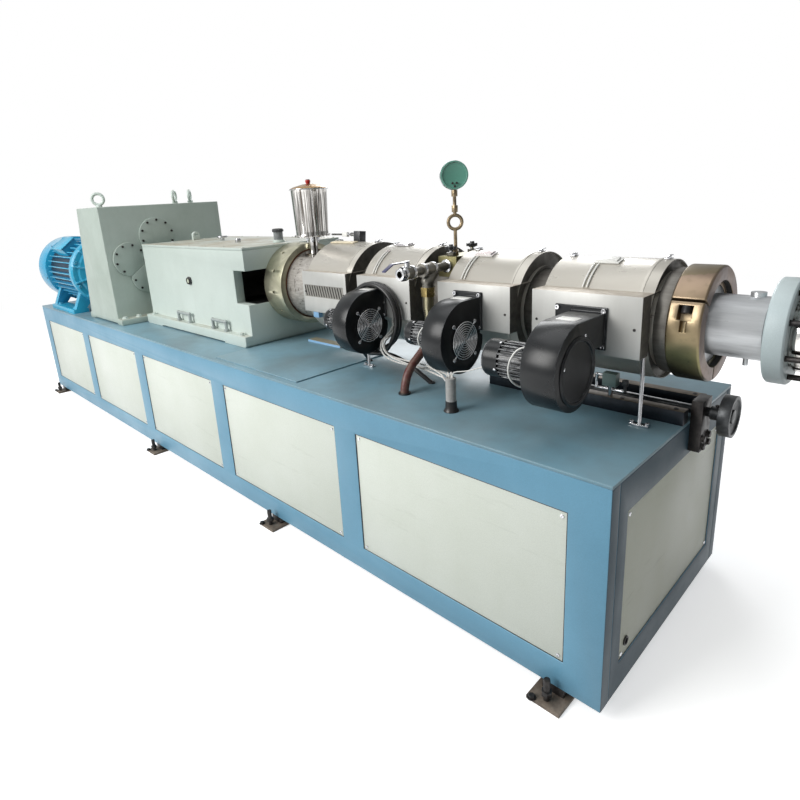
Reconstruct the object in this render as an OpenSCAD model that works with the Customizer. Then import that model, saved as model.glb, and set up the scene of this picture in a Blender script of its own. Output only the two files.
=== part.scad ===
// Twin-screw plastic extruder on a panelled base.
// The machine axis runs along X with the drive at -X and the die at +X, the
// service side faces -Y, Z is up and the floor is Z = 0. X = 0 is the middle
// of the machine's length and Y = 0 the middle of its base.

/* [Base] */
// Length of the base
base_l = 5090; // [4700:10:5500]
// Width of the base
base_w = 990; // [960:10:1100]
// Height of the base frame with its deck
base_h = 720; // [680:10:800]
// Height of the levelling feet
foot_h = 40; // [34:1:60]
// Thickness of the deck plate
deck_t = 10; // [6:1:16]
// Depth of the frame's bars, seen from above
bar_d = 50; // [40:1:60]
// Height of the band above the panels, deck and top rail together
band_h = 120; // [90:5:150]
// Height of the bottom rail
sill_h = 100; // [70:5:130]
// Width of the corner posts on the long sides
post_w = 120; // [90:5:150]
// Width of the posts between the bays
mullion_w = 125; // [90:5:150]
// Bays on each long side
bays = 5; // [4:1:6]
// Width of the posts of the end frames
end_post_w = 60; // [40:5:80]
// Thickness of a panel
panel_t = 4; // [2:0.5:8]
// Depth of the rebate that a panel lies in
rebate_d = 8; // [8:1:14]
// Width of the lip behind a panel
rebate_lip = 15; // [8:1:25]

/* [Motor] */
// Distance from the die end of the base to the motor's fan end, under the cowl
motor_x0 = 4900; // [4820:5:4940]
// Distance from the die end of the base to the motor's drive end
motor_x1 = 4250; // [4230:5:4300]
// Height of the motor's centre above the deck
motor_h = 300; // [290:1:320]
// Radius of the motor's body under its fins
motor_r = 225; // [205:1:232]
// Radius of the motor's cowl
cowl_r = 268; // [255:1:280]
// Length of the motor's cowl
cowl_l = 260; // [200:5:320]

/* [Gearboxes] */
// Distance from the die end of the base to the reducer's front face
reducer_x = 3480; // [3470:5:3520]
// Thickness of the reducer along the machine, at its top
reducer_t = 410; // [360:5:440]
// Extra thickness of the reducer at its bottom
reducer_flare = 120; // [60:5:140]
// Width of the reducer across the machine
reducer_w = 860; // [800:5:900]
// Height of the reducer
reducer_h = 780; // [700:5:860]
// Distance from the die end of the base to the gear case's front face
case_x = 2100; // [2060:5:2120]
// Length of the gear case
case_l = 1275; // [1200:5:1280]
// Width of the gear case
case_w = 650; // [600:5:680]
// Height of the gear case with its lid
case_h = 525; // [520:5:560]
// Height of the gear case's foot
case_foot_h = 60; // [40:5:80]
// Reach of the gear case's foot beyond its sides
case_foot_r = 45; // [30:5:60]
// Thickness of the gear case's lid
lid_t = 14; // [8:1:24]

/* [Barrel] */
// Height of the barrel's centre above the deck
axis_h = 308; // [290:1:330]
// Offset of the barrel's centre from the middle of the base
axis_y = 100; // [80:1:110]
// Radius of the barrel
barrel_r = 140; // [120:1:150]
// Radius of the coupling ring
ring_r = 216; // [206:1:220]
// Width of the coupling ring
ring_w = 156; // [120:1:170]
// Radius of the feed casting
feed_r = 178; // [165:1:190]
// Radii of the shrouds, from the feed to the die
shroud_r = [226, 216, 202, 190];
// Distance from the die end of the base to each shroud's die end
shroud_x = [1400, 1010, 540, 94];
// Length of each shroud
shroud_l = [320, 312, 322, 360];
// Reach of the duct boxes in front of the barrel's centre
duct_y = 238; // [232:1:246]
// Height of the top of the duct boxes above the deck
duct_top = 412; // [400:1:425]
// Height of a duct box
duct_h = [190, 165, 160, 184];

/* [Die end] */
// Radius of the clamp
clamp_r = 177; // [165:1:190]
// Width of the clamp
clamp_w = 96; // [80:1:96]
// Radius of the neck
neck_r = 93; // [80:1:100]
// Length of the neck in front of the clamp
neck_l = 142; // [110:1:170]
// Radius of the die flanges
die_r = 150; // [140:1:160]
// Thickness of a die flange
die_t = 52; // [40:1:60]
// Radius of the die's body between its flanges
die_body_r = 104; // [95:1:108]
// Length of the die's body
die_body_l = 210; // [160:5:260]
// Radius of the melt channel
melt_r = 30; // [20:1:40]
// Radius of a tie rod
tie_r = 8; // [6:0.5:10]
// Number of tie rods
ties = 8; // [6:1:10]
// Height of the tie rods' nuts, sunk in the outlet flange
nut_h = 26; // [16:1:36]

/* [Slide] */
// Width of a slide rail
rail_w = 42; // [30:1:48]
// Height of a slide rail
rail_h = 46; // [40:1:50]
// Distance between the rails
rail_gap = 130; // [126:1:150]
// Length of the rails
rail_l = 720; // [680:10:800]
// Radius of the lead screw
screw_r = 15; // [10:0.5:17]
// Radial clearance of the lead screw in its bearing and nut
screw_clear = 0.05; // [0.02:0.01:0.1]
// Radius of the handwheel
wheel_r = 66; // [55:1:72]

/* [Hidden] */
$fn = 64;
eps = 0.01;

// Overall places
deck_z = foot_h + base_h;
axis_z = deck_z + axis_h;
clamp_back = -52;
clamp_front = clamp_back + clamp_w;
neck_end = clamp_front + neck_l;
die_reach = neck_end + 2 * die_t + die_body_l;
rear_reach = max(base_l, motor_x0 + cowl_l);
x_die = (rear_reach - die_reach) / 2;
x_drive = x_die - base_l;
seat = 0.3;

// Colours
base_blue = [0.38, 0.55, 0.66];
deck_grey = [0.42, 0.50, 0.52];
cream = [0.86, 0.90, 0.84];
mint = [0.66, 0.74, 0.69];
motor_blue = [0.10, 0.60, 0.80];
stainless = [0.74, 0.73, 0.71];
bright_steel = [0.85, 0.85, 0.86];
dark_steel = [0.20, 0.20, 0.21];
zinc_yellow = [0.66, 0.60, 0.36];
blower_black = [0.06, 0.06, 0.07];
die_grey = [0.58, 0.66, 0.68];
rubber_red = [0.32, 0.10, 0.10];
rubber_black = [0.05, 0.05, 0.05];

// A box given by its lowest and highest corners
module span(lo, hi) {
    translate(lo) cube(hi - lo);
}

// A cylinder along X from x0 to x1 on a given axis
module rod_x(x0, x1, y, z, r) {
    translate([x0, y, z]) rotate([0, 90, 0]) cylinder(h = x1 - x0, r = r);
}

// A cylinder along Y from y0 to y1
module rod_y(y0, y1, x, z, r) {
    translate([x, y0, z]) rotate([-90, 0, 0]) cylinder(h = y1 - y0, r = r);
}

// A cylinder along Z from z0 to z1
module rod_z(z0, z1, x, y, r) {
    translate([x, y, z0]) cylinder(h = z1 - z0, r = r);
}

// An extrusion along X of a profile drawn in Y and Z
module extrude_x(x0, x1) {
    translate([x0, 0, 0]) rotate([90, 0, 90]) linear_extrude(height = x1 - x0) children();
}

// A tube that follows a route of points, as one skin of rings
function unit(v) = v / norm(v);
function heading(p, i) = unit(p[min(i + 1, len(p) - 1)] - p[max(i - 1, 0)]);
function side_of(h) = unit(cross(h, abs(h[2]) < 0.9 ? [0, 0, 1] : [1, 0, 0]));
function carried(a, h) = unit(a - (a * h) * h);
module tube(p, r, sides) {
    n = len(p);
    across = [for (i = 0, a = side_of(heading(p, 0)); i < n; i = i + 1,
        a = i < n ? carried(a, heading(p, i)) : a) a];
    ring_points = [for (i = [0 : n - 1])
        let (h = heading(p, i), a = across[i], b = cross(h, a))
        for (k = [0 : sides - 1])
        p[i] + r * (cos(360 * k / sides) * a + sin(360 * k / sides) * b)];
    walls = [for (i = [0 : n - 2]) for (k = [0 : sides - 1])
        let (a = i * sides + k, b = i * sides + (k + 1) % sides)
        each [[a, b + sides, b], [a, a + sides, b + sides]]];
    first = [[for (k = [0 : sides - 1]) k]];
    last = [[for (k = [sides - 1 : -1 : 0]) (n - 1) * sides + k]];
    polyhedron(points = ring_points, faces = concat(first, walls, last));
}

// Base
bay_w = (base_l - 2 * post_w - (bays - 1) * mullion_w) / bays;
panel_h = base_h - band_h - sill_h;
panel_z = foot_h + sill_h;
frame_top = deck_z - deck_t;
end_bay_w = base_w - 2 * bar_d - 2 * end_post_w;
function bay_x(i) = x_drive + post_w + i * (bay_w + mullion_w);

// An opening with its rebate, cut from a frame whose outer face is y = 0
module panel_opening(w, h) {
    span([0, -eps, 0], [w, rebate_d, h]);
    span([rebate_lip, -eps, rebate_lip], [w - rebate_lip, bar_d + eps, h - rebate_lip]);
}

module panel(w, h) {
    span([seat, rebate_d - panel_t, seat], [w - seat, rebate_d, h - seat]);
}

module long_frame() {
    difference() {
        span([x_drive, -base_w / 2, foot_h], [x_die, -base_w / 2 + bar_d, frame_top]);
        for (i = [0 : bays - 1])
            translate([bay_x(i), -base_w / 2, panel_z]) panel_opening(bay_w, panel_h);
    }
}

module long_panels() {
    for (i = [0 : bays - 1])
        translate([bay_x(i), -base_w / 2, panel_z]) panel(bay_w, panel_h);
}

module end_frame() {
    difference() {
        span([-base_w / 2 + bar_d, 0, foot_h], [base_w / 2 - bar_d, bar_d, frame_top]);
        translate([-end_bay_w / 2, 0, panel_z]) panel_opening(end_bay_w, panel_h);
    }
}

module end_panel() {
    translate([-end_bay_w / 2, 0, panel_z]) panel(end_bay_w, panel_h);
}

module at_die_end() {
    translate([x_die, 0, 0]) rotate([0, 0, 90]) children();
}

module at_drive_end() {
    translate([x_drive, 0, 0]) rotate([0, 0, -90]) children();
}

module frame_front() color(base_blue) long_frame();
module frame_back() color(base_blue) rotate([0, 0, 180]) translate([-x_die - x_drive, 0, 0]) long_frame();
module frame_ends() color(base_blue) {
    at_die_end() end_frame();
    at_drive_end() end_frame();
}
module panels_front() color(cream) long_panels();
module panels_back() color(cream) rotate([0, 0, 180]) translate([-x_die - x_drive, 0, 0]) long_panels();
module panels_ends() color(cream) {
    at_die_end() end_panel();
    at_drive_end() end_panel();
}
module deck() color(deck_grey) {
    span([x_drive, -base_w / 2, frame_top], [x_die, base_w / 2, deck_z]);
}

// Levelling feet: a pad on the floor, a packer under the rail and a jack bolt
foot_inset = [150, 130];
foot_mid = [1630, 2966];
foot_x = concat([foot_inset[0]], foot_mid, [base_l - foot_inset[1]]);
pad_l = 110;
pad_t = 12;
pad_reach = 60;
pad_under = 55;
packer_l = 70;
jack_r = 10;
jack_out = 34;
jack_h = 86;
module foot() {
    span([-pad_l / 2, -pad_reach, 0], [pad_l / 2, pad_under, pad_t]);
    span([-packer_l / 2, 0, pad_t - eps], [packer_l / 2, pad_under - 10, foot_h]);
    rod_z(pad_t - eps, jack_h, 0, -jack_out, jack_r);
    translate([0, -jack_out, foot_h - 10]) cylinder(h = 16, r = 17, $fn = 6);
}
module levelling_feet() color(dark_steel) {
    for (d = foot_x) {
        translate([x_die - d, -base_w / 2, 0]) foot();
        translate([x_die - d, base_w / 2, 0]) rotate([0, 0, 180]) foot();
    }
}

// Cover plate on the deck beside the gear case
cover_x0 = 2075;
cover_x1 = 1380;
cover_y0 = -466;
cover_y1 = 60;
cover_t = 6;
packer_x = [1918, 1650];
packer_y = 4;
packer_t = 12;
module deck_cover() color(deck_grey) {
    span([x_die - cover_x0, cover_y0, deck_z], [x_die - cover_x1, cover_y1, deck_z + cover_t]);
    span([x_die - packer_x[0], packer_y, deck_z + cover_t - eps],
        [x_die - packer_x[1], cover_y1, deck_z + cover_t + packer_t]);
}

// Motor: a finned body on cast feet with its terminal box, and a plain cowl
motor_y = -185;
fin_out = 28;
fin_t = 7;
fins = 36;
motor_axis_z = deck_z + motor_h;
motor_foot_l = 560;
motor_foot_w = 110;
motor_foot_t = 32;
leg_l = 60;
motor_foot_y = 229;
terminal_turn = -38;
terminal_w = 130;
terminal_l = 250;
terminal_out = 62;
module motor() color(motor_blue) {
    x0 = x_die - motor_x0;
    x1 = x_die - motor_x1;
    difference() {
        union() {
            rod_x(x0, x1, motor_y, motor_axis_z, motor_r);
            for (i = [0 : fins - 1])
                translate([x0 + 20, motor_y, motor_axis_z]) rotate([i * 360 / fins, 0, 0])
                    translate([0, -fin_t / 2, motor_r - 10]) cube([x1 - x0 - 90, fin_t, fin_out + 10]);
            translate([x1, motor_y, motor_axis_z]) end_bell();
            for (s = [-1, 1])
                motor_foot(s, (x0 + x1) / 2);
            translate([x0 + 160, motor_y, motor_axis_z]) rotate([-terminal_turn, 0, 0])
                span([0, -terminal_w / 2, motor_r - 20],
                    [terminal_l, terminal_w / 2, motor_r + terminal_out]);
        }
        span([x0 - 100, motor_y - 400, deck_z - 50], [x1 + 100, motor_y + 400, deck_z]);
    }
}
bell_ribs = 12;
bell_l = 46;
bell_hub = 120;
module end_bell() {
    rim = motor_r + fin_out + 6;
    rotate([0, 90, 0]) rotate_extrude() polygon([[0, -60], [rim, -60], [rim, -14], [rim - 12, 0],
        [rim - 46, 0], [rim - 58, 10], [bell_hub + 24, 16], [bell_hub, bell_l], [0, bell_l]]);
    for (i = [0 : bell_ribs - 1])
        rotate([(i + 0.5) * 360 / bell_ribs, 0, 0]) rotate([90, 0, 0]) translate([0, 0, -5])
            linear_extrude(height = 10) polygon([[-2, rim - 4], [8, rim - 14], [26, bell_hub + 30],
                [bell_l - 8, bell_hub - 4], [-2, bell_hub - 4]]);
}
module motor_foot(s, mid) {
    span([mid - motor_foot_l / 2, motor_y + s * motor_foot_y - motor_foot_w / 2, deck_z],
        [mid + motor_foot_l / 2, motor_y + s * motor_foot_y + motor_foot_w / 2, deck_z + motor_foot_t]);
    for (x = [mid - motor_foot_l / 2, mid + motor_foot_l / 2 - leg_l])
        extrude_x(x, x + leg_l)
            polygon([[motor_y + s * 60, motor_axis_z - 120], [motor_y + s * 190, motor_axis_z - 100],
                [motor_y + s * (motor_foot_y + 35), deck_z + motor_foot_t - eps],
                [motor_y + s * (motor_foot_y - 45), deck_z + motor_foot_t - eps]]);
}

module motor_cowl() color(motor_blue) {
    x0 = x_die - motor_x0 - cowl_l;
    x1 = x_die - motor_x0;
    translate([x0, motor_y, motor_axis_z]) rotate([0, 90, 0]) rotate_extrude() polygon([
        [0, 0], [cowl_r - 75, 0], [cowl_r - 28, 18], [cowl_r, 62],
        [cowl_r, cowl_l], [0, cowl_l]]);
}

// Coupling between the motor and the reducer, on the input shaft
module motor_coupling() color(dark_steel) {
    x0 = x_die - motor_x1 + 46;
    x1 = reducer_back(motor_h);
    half = (x1 - x0 - 8) / 2;
    rod_x(x0, x0 + half, motor_y, motor_axis_z, 85);
    rod_x(x0 + half - eps, x1 - half + eps, motor_y, motor_axis_z, 60);
    rod_x(x1 - half, x1 - reducer_pad - seat, motor_y, motor_axis_z, 85);
}

// Reducer: a tall cast housing whose drive side flares towards its foot
reducer_foot_t = 40;
reducer_foot_front = 70;
reducer_pad = 30;
reducer_r = 18;
function reducer_back(h) = x_die - reducer_x - reducer_t - reducer_flare * (1 - h / reducer_h);
module reducer() color(mint) {
    x1 = x_die - reducer_x;
    difference() {
        union() {
            rotate([90, 0, 0]) translate([0, 0, -reducer_w / 2]) linear_extrude(height = reducer_w) polygon([
                [reducer_back(0), deck_z], [x1, deck_z],
                [x1, deck_z + reducer_h], [reducer_back(reducer_h), deck_z + reducer_h]]);
            span([reducer_back(0) - 20, -reducer_w / 2, deck_z],
                [x1 + reducer_foot_front, reducer_w / 2, deck_z + reducer_foot_t]);
        }
        span([reducer_back(0) + 60, -reducer_w / 2 - eps, deck_z - eps],
            [x1 - 20, reducer_w / 2 + eps, deck_z + 10]);
    }
    rod_x(reducer_back(motor_h) - reducer_pad, reducer_back(motor_h) + 60, motor_y, motor_axis_z, 130);
}

// Bearing covers on the reducer, each a disc with its ring of screws, cut
// flat where two of them meet
cover_places = [[-70, 570, 125], [-280, 430, 112], [motor_y, motor_h, 104]];
cover_thick = 16;
module cover_disc(i) {
    c = cover_places[i];
    difference() {
        rod_x(x_die - reducer_x, x_die - reducer_x + cover_thick, c[0], deck_z + c[1], c[2]);
        for (j = [0 : len(cover_places) - 1])
            if (j != i)
                cover_flat(c, cover_places[j]);
    }
}
// Half space beyond the line where two covers meet
module cover_flat(a, b) {
    dy = b[0] - a[0];
    dz = b[1] - a[1];
    gap = norm([dy, dz]);
    reach = (gap * gap + a[2] * a[2] - b[2] * b[2]) / (2 * gap);
    if (gap < a[2] + b[2])
        translate([x_die - reducer_x, a[0], deck_z + a[1]]) rotate([atan2(dz, dy), 0, 0])
            span([-1, reach - 0.5, -200], [cover_thick + 1, reach + 200, 200]);
}
module reducer_covers() color(mint) {
    for (i = [0 : len(cover_places) - 1]) cover_disc(i);
}

// Lifting eyes screwed into the reducer's top
eye_places = [[3700, -339, 60], [3700, 202, -42], [3700, 323, -36]];
eye_r = 36;
eye_wire = 10;
eye_neck = 18;
module lifting_eyes() color(stainless) {
    for (p = eye_places)
        translate([x_die - p[0], p[1], deck_z + reducer_h]) {
            cylinder(h = eye_neck, r = 20);
            translate([0, 0, eye_neck + eye_r]) rotate([90, 0, p[2]])
                rotate_extrude() translate([eye_r, 0]) circle(r = eye_wire, $fn = 24);
        }
}

// Gear case: the gearbox that shares the drive between the two screws. Its
// die end is a lantern, open on both sides so that the couplings can be reached.
notch_l = 120;
notch_z0 = 226;
notch_h = 178;
notch_in = 250;
case_wall = 55;
case_top = case_h - lid_t;
module gear_case() color(mint) {
    x0 = x_die - case_x - case_l;
    x1 = x_die - case_x;
    y0 = axis_y - case_w / 2;
    y1 = axis_y + case_w / 2;
    difference() {
        union() {
            span([x0, y0, deck_z + 8], [x1, y1, deck_z + case_top]);
            span([x0, y0 - case_foot_r, deck_z + 8], [x1, y1 + case_foot_r, deck_z + case_foot_h]);
            for (p = [x0 + 120, x1 - 120])
                span([p - 110, y0 - case_foot_r, deck_z], [p + 110, y1 + case_foot_r, deck_z + 8 + eps]);
        }
        span([x1 - notch_l, y0 - eps, deck_z + notch_z0], [x1 + eps, y1 + eps, deck_z + notch_z0 + notch_h]);
        span([x1 - notch_in, y0 + case_wall, deck_z + notch_z0],
            [x1, y1 - case_wall, deck_z + notch_z0 + notch_h]);
    }
}
lid_over = 2;
module gear_case_lid() color(mint) {
    span([x_die - case_x - case_l - lid_over, axis_y - case_w / 2 - lid_over, deck_z + case_top],
        [x_die - case_x, axis_y + case_w / 2 + lid_over, deck_z + case_h]);
}

// Fittings on the gear case: breather, vent, small plug, lifting lug and sight
// glass, each at its distance from the case's front face
breather_in = 125;
vent_in = 830;
plug_in = 465;
lug_in = 1200;
glass_in = 640;
glass_z = 320;
module gear_case_fittings() color(stainless) {
    z = deck_z + case_h;
    translate([x_die - case_x - breather_in, axis_y - 10, z]) {
        cylinder(h = 14, r = 34);
        cylinder(h = 58, r = 25);
        translate([0, 0, 58 - eps]) cylinder(h = 14, r = 31);
    }
    translate([x_die - case_x - vent_in, axis_y + 30, z]) {
        cylinder(h = 16, r = 14);
        translate([0, 0, 16 - eps]) cylinder(h = 12, r = 34);
    }
    translate([x_die - case_x - plug_in, axis_y - 70, z]) cylinder(h = 24, r = 17);
    translate([x_die - case_x - lug_in, axis_y + 30, z]) {
        span([-11, -26, 0], [11, 26, 30]);
        difference() {
            translate([-11, 0, 30]) rotate([0, 90, 0]) cylinder(h = 22, r = 26);
            translate([-12, 0, 34]) rotate([0, 90, 0]) cylinder(h = 24, r = 12);
        }
    }
    rod_y(axis_y - case_w / 2 - 10, axis_y - case_w / 2, x_die - case_x - glass_in, deck_z + glass_z, 24);
}

// Two bent lubrication pipes that stand on the gear case's foot
pipe_r = 9;
pipe_span = 150;
pipe_rise = 55;
pipes_in = [820, 380];
module oil_pipe() {
    rod_z(0, pipe_rise, 0, 0, pipe_r);
    rod_z(0, pipe_rise, pipe_span, 0, pipe_r);
    rod_x(0, pipe_span, 0, pipe_rise, pipe_r);
    for (e = [0, pipe_span]) {
        translate([e, 0, pipe_rise]) sphere(r = pipe_r + 2);
        translate([e, 0, 0]) cylinder(h = 14, r = pipe_r + 5);
    }
}
module oil_pipes() color(stainless) {
    for (d = pipes_in)
        translate([x_die - case_x - d, axis_y - case_w / 2 - case_foot_r / 2, deck_z + case_foot_h])
            oil_pipe();
}

// Shaft couplings of the two screws, seen inside the lantern
screw_gap = 110;
module screw_couplings() color(dark_steel) {
    for (s = [-1, 1]) {
        rod_x(x_die - case_x - notch_in, x_die - case_x, axis_y + s * screw_gap / 2, axis_z, 32);
        rod_x(x_die - case_x - notch_in + 60, x_die - case_x - 50, axis_y + s * screw_gap / 2, axis_z, 48);
    }
}

// Coupling ring that draws the barrel onto the gear case, with its tommy-bar holes
ring_x = case_x;
tommy_r = 8;
tommy_d = 30;
tommies = 12;
module coupling_ring() color(zinc_yellow) {
    x0 = x_die - ring_x;
    difference() {
        rod_x(x0, x0 + ring_w, axis_y, axis_z, ring_r);
        rod_x(x0 + ring_w - 60, x0 + ring_w + 1, axis_y, axis_z, feed_r + seat);
        for (i = [0 : tommies - 1])
            translate([x0 + ring_w / 2, axis_y, axis_z]) rotate([i * 360 / tommies + 6, 0, 0])
                translate([0, 0, ring_r - tommy_d]) cylinder(h = tommy_d + 1, r = tommy_r);
    }
}

// Barrel: the feed casting with its flat top, then the plain barrel under the shrouds
feed_x1 = shroud_x[0] + shroud_l[0];
feed_top = 150;
flange_r = 166;
module barrel() color([0.5, 0.46, 0.44]) {
    x0 = x_die - ring_x + ring_w - 60;
    x1 = x_die - feed_x1 - seat;
    difference() {
        union() {
            rod_x(x0, x1, axis_y, axis_z, feed_r);
            rod_x(x1 - eps, x_die + clamp_back, axis_y, axis_z, barrel_r);
            rod_x(x_die - shroud_x[3] + 4, x_die + clamp_back, axis_y, axis_z, flange_r);
        }
        span([x0 + 60, axis_y - feed_r, axis_z + feed_top], [x1 + 1, axis_y + feed_r, axis_z + feed_r + 1]);
    }
}

// Feed pot on the feed casting: a polished stainless vessel on its plate and stem
pot_x = 1920;
pot_r0 = 84;
pot_r1 = 93;
pot_z0 = 568;
pot_h = 228;
pot_plate = [82, 110, 14];
pot_stem_r = 23;
module feed_pot() color(bright_steel) {
    translate([x_die - pot_x, axis_y, deck_z]) {
        translate([-pot_stem_r, -pot_plate[1] / 2, axis_h + feed_top]) cube(pot_plate);
        translate([0, 0, axis_h + feed_top]) cylinder(h = pot_z0 - axis_h - feed_top, r = pot_stem_r);
        translate([0, 0, pot_z0 - 10]) rotate_extrude() polygon([
            [0, 0], [pot_r0 + 10, 0], [pot_r0 + 10, 10], [pot_r0, 10], [pot_r1, 10 + pot_h],
            [pot_r1 + 5, 10 + pot_h], [pot_r1 + 5, 15 + pot_h], [pot_r1 - 14, 24 + pot_h],
            [30, 36 + pot_h], [10, 38 + pot_h], [14, 52 + pot_h], [10, 60 + pot_h], [0, 60 + pot_h]]);
    }
}

// Shrouds: stainless cylinders round the heaters, each with its duct box
box_back = 60;
sheet_t = 3;
end_set = 12;
band_w = 12;
band_in = 34;
box_lid = 4;
louvres = 15;
louvre_x = [16, 296];
louvre_z = [76, 128];
louvre_t = 7;
louvre_depth = 4;
module shroud_end(x0, x1, i) {
    difference() {
        rod_x(x0, x1, axis_y, axis_z, shroud_r[i] - sheet_t);
        rod_x(x0 - 1, x1 + 1, axis_y, axis_z, barrel_r + end_set);
    }
}
module shroud(i) color(stainless) {
    x0 = x_die - shroud_x[i] - shroud_l[i];
    x1 = x_die - shroud_x[i];
    y0 = axis_y - duct_y;
    z0 = deck_z + duct_top - duct_h[i];
    difference() {
        union() {
            difference() {
                rod_x(x0, x1, axis_y, axis_z, shroud_r[i]);
                shroud_end(x1 - end_set, x1 + 1, i);
                shroud_end(x0 - 1, x0 + end_set, i);
            }
            rod_x(x1 - band_in - band_w, x1 - band_in, axis_y, axis_z, shroud_r[i] + sheet_t / 2);
            span([x0 + end_set, y0, z0], [x1 - end_set, axis_y - box_back, deck_z + duct_top]);
            span([x0, y0, z0], [x1, axis_y - shroud_r[i] + end_set, deck_z + duct_top]);
            span([x0, y0, deck_z + duct_top - eps],
                [x1, axis_y - shroud_r[i] / 2, deck_z + duct_top + box_lid]);
        }
        rod_x(x0 - 1, x1 + 1, axis_y, axis_z, barrel_r + seat);
        if (i == 0)
            for (k = [0 : louvres - 1])
                translate([x0 + louvre_x[0] + (louvre_x[1] - louvre_x[0]) * (k + 0.5) / louvres,
                    y0 - 1, z0 + louvre_z[0]])
                    rotate([0, -14, 0]) cube([louvre_t, louvre_depth + 1, louvre_z[1] - louvre_z[0]]);
    }
}
module shroud_1() shroud(0);
module shroud_2() shroud(1);
module shroud_3() shroud(2);
module shroud_4() shroud(3);

// What lies on a shroud: at a distance from the die end and an angle about the
// barrel, counted from straight up towards the service side
module on_shroud(i, d, turn) {
    translate([x_die - d, axis_y, axis_z]) rotate([turn, 0, 0]) translate([0, 0, shroud_r[i]]) children();
}

// Heater terminals on the shrouds: a bent flap and a terminal head on the first,
// bare plates with two leads each on the others, and a small block under the
// first duct box
flap_x = [1716, 1545];
flap_w = 34;
flap_turn = 8;
head_x = 1578;
head_h = 50;
head_tube = 190;
plate_x = [1235, 765, 285];
plate_turn = [4, 17, 15];
plate_l = 84;
plate_w = 46;
lead_r = 3;
lead_set = 14;
lead_turn = 24;
under_x = 1660;
under_l = 40;
under_w = 24;
under_h = 28;
module terminal_head() {
    translate([-22, -20, 0]) cube([44, 40, head_h]);
    translate([-22 - head_tube, 0, head_h - 16]) rotate([0, 90, 0]) cylinder(h = head_tube, r = 5);
    translate([-62, 0, head_h - 16]) rotate([0, 90, 0]) cylinder(h = 41, r = 10);
    translate([-124, -9, head_h - 28]) cube([36, 18, 22]);
}
function lead_way(i) = shroud_r[i] + lead_r + seat;
function lead_end(i) = acos((duct_top + box_lid + lead_r + seat - axis_h) / lead_way(i));
module shroud_lead(i) {
    rotate([90, 0, 90]) rotate([0, 0, 90 + lead_turn])
        rotate_extrude(angle = lead_end(i) - lead_turn)
            translate([lead_way(i), 0]) circle(r = lead_r, $fn = 16);
}
module heater_terminals() color(cream) {
    on_shroud(0, (flap_x[0] + flap_x[1]) / 2, flap_turn)
        translate([(flap_x[1] - flap_x[0]) / 2, -flap_w / 2, 0]) cube([flap_x[0] - flap_x[1], flap_w, 5]);
    on_shroud(0, head_x, -6) terminal_head();
    for (k = [0 : 2]) {
        on_shroud(k + 1, plate_x[k], plate_turn[k]) {
            translate([-plate_l / 2, -plate_w / 2, 0]) cube([plate_l, plate_w, 4]);
            translate([-plate_l / 2 + 8, -plate_w / 2 + 6, 4 - eps]) cube([plate_l - 16, plate_w - 12, 5]);
        }
        for (e = [0, 1])
            translate([x_die - plate_x[k] - plate_l / 2 + 8 + e * lead_set, axis_y, axis_z])
                shroud_lead(k + 1);
    }
    translate([x_die - under_x, axis_y - duct_y + 3, deck_z + duct_top - duct_h[0] - under_h])
        cube([under_l, under_w, under_h]);
}

// Chrome posts with T feet under the duct boxes
post_r = 6;
post_foot = 30;
post_x = [104, 1300];
post_y = [-80, -118];
post_of = [3, 1];
module support_posts() color(bright_steel) {
    for (k = [0, 1]) {
        top = deck_z + duct_top - duct_h[post_of[k]];
        rod_z(deck_z + 6, top, x_die - post_x[k], post_y[k], post_r);
        span([x_die - post_x[k] - post_foot, post_y[k] - 10, deck_z],
            [x_die - post_x[k] + post_foot, post_y[k] + 10, deck_z + 8]);
    }
}

// Blowers: a volute in the YZ plane with its outlet flange on a duct box
blower_x = [1150, 660, 200];
blower_w = [84, 90, 110];
blower_y = [-238, -238, -308];
blower_z = [232, 234, 219];
volute_r = [108, 108, 108];
volute_grow = [32, 32, 34];
outlet_h = [105, 105, 100];
inlet_r = [68, 68, 92];
flange_t = 8;
flange_lip = 16;
flange_w = [127, 127, 172];
flange_over = 6;
throat_rise = 10;
function volute(r, g, n) = [for (i = [0 : n]) let (a = 90 + 270 * i / n)
    (r + g * (1 - i / n)) * [cos(a), sin(a)]];
module volute_side(i) {
    r = volute_r[i];
    top = r + volute_grow[i];
    throat = min(r, outlet_reach(i) - flange_t);
    polygon(concat(volute(r, volute_grow[i], 36),
        [[throat, throat_rise], [throat, top - outlet_h[i]],
        [outlet_reach(i), top - outlet_h[i]], [outlet_reach(i), top]]));
}
function outlet_reach(i) = axis_y - duct_y - blower_y[i];
module blower(i) color(blower_black) {
    x1 = x_die - blower_x[i];
    x0 = x1 - blower_w[i];
    y1 = axis_y - duct_y;
    top = blower_z[i] + volute_r[i] + volute_grow[i];
    difference() {
        union() {
            extrude_x(x0, x1) translate([blower_y[i], deck_z + blower_z[i]]) volute_side(i);
            span([x1 + flange_over - flange_w[i], y1 - flange_t, deck_z + top - outlet_h[i] - flange_lip],
                [x1 + flange_over, y1, deck_z + top + flange_lip]);
        }
        rod_x(x0 + 6, x1 + 1, blower_y[i], deck_z + blower_z[i], inlet_r[i]);
    }
}
module blower_1() blower(0);
module blower_2() blower(1);
module blower_3() blower(2);

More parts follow.
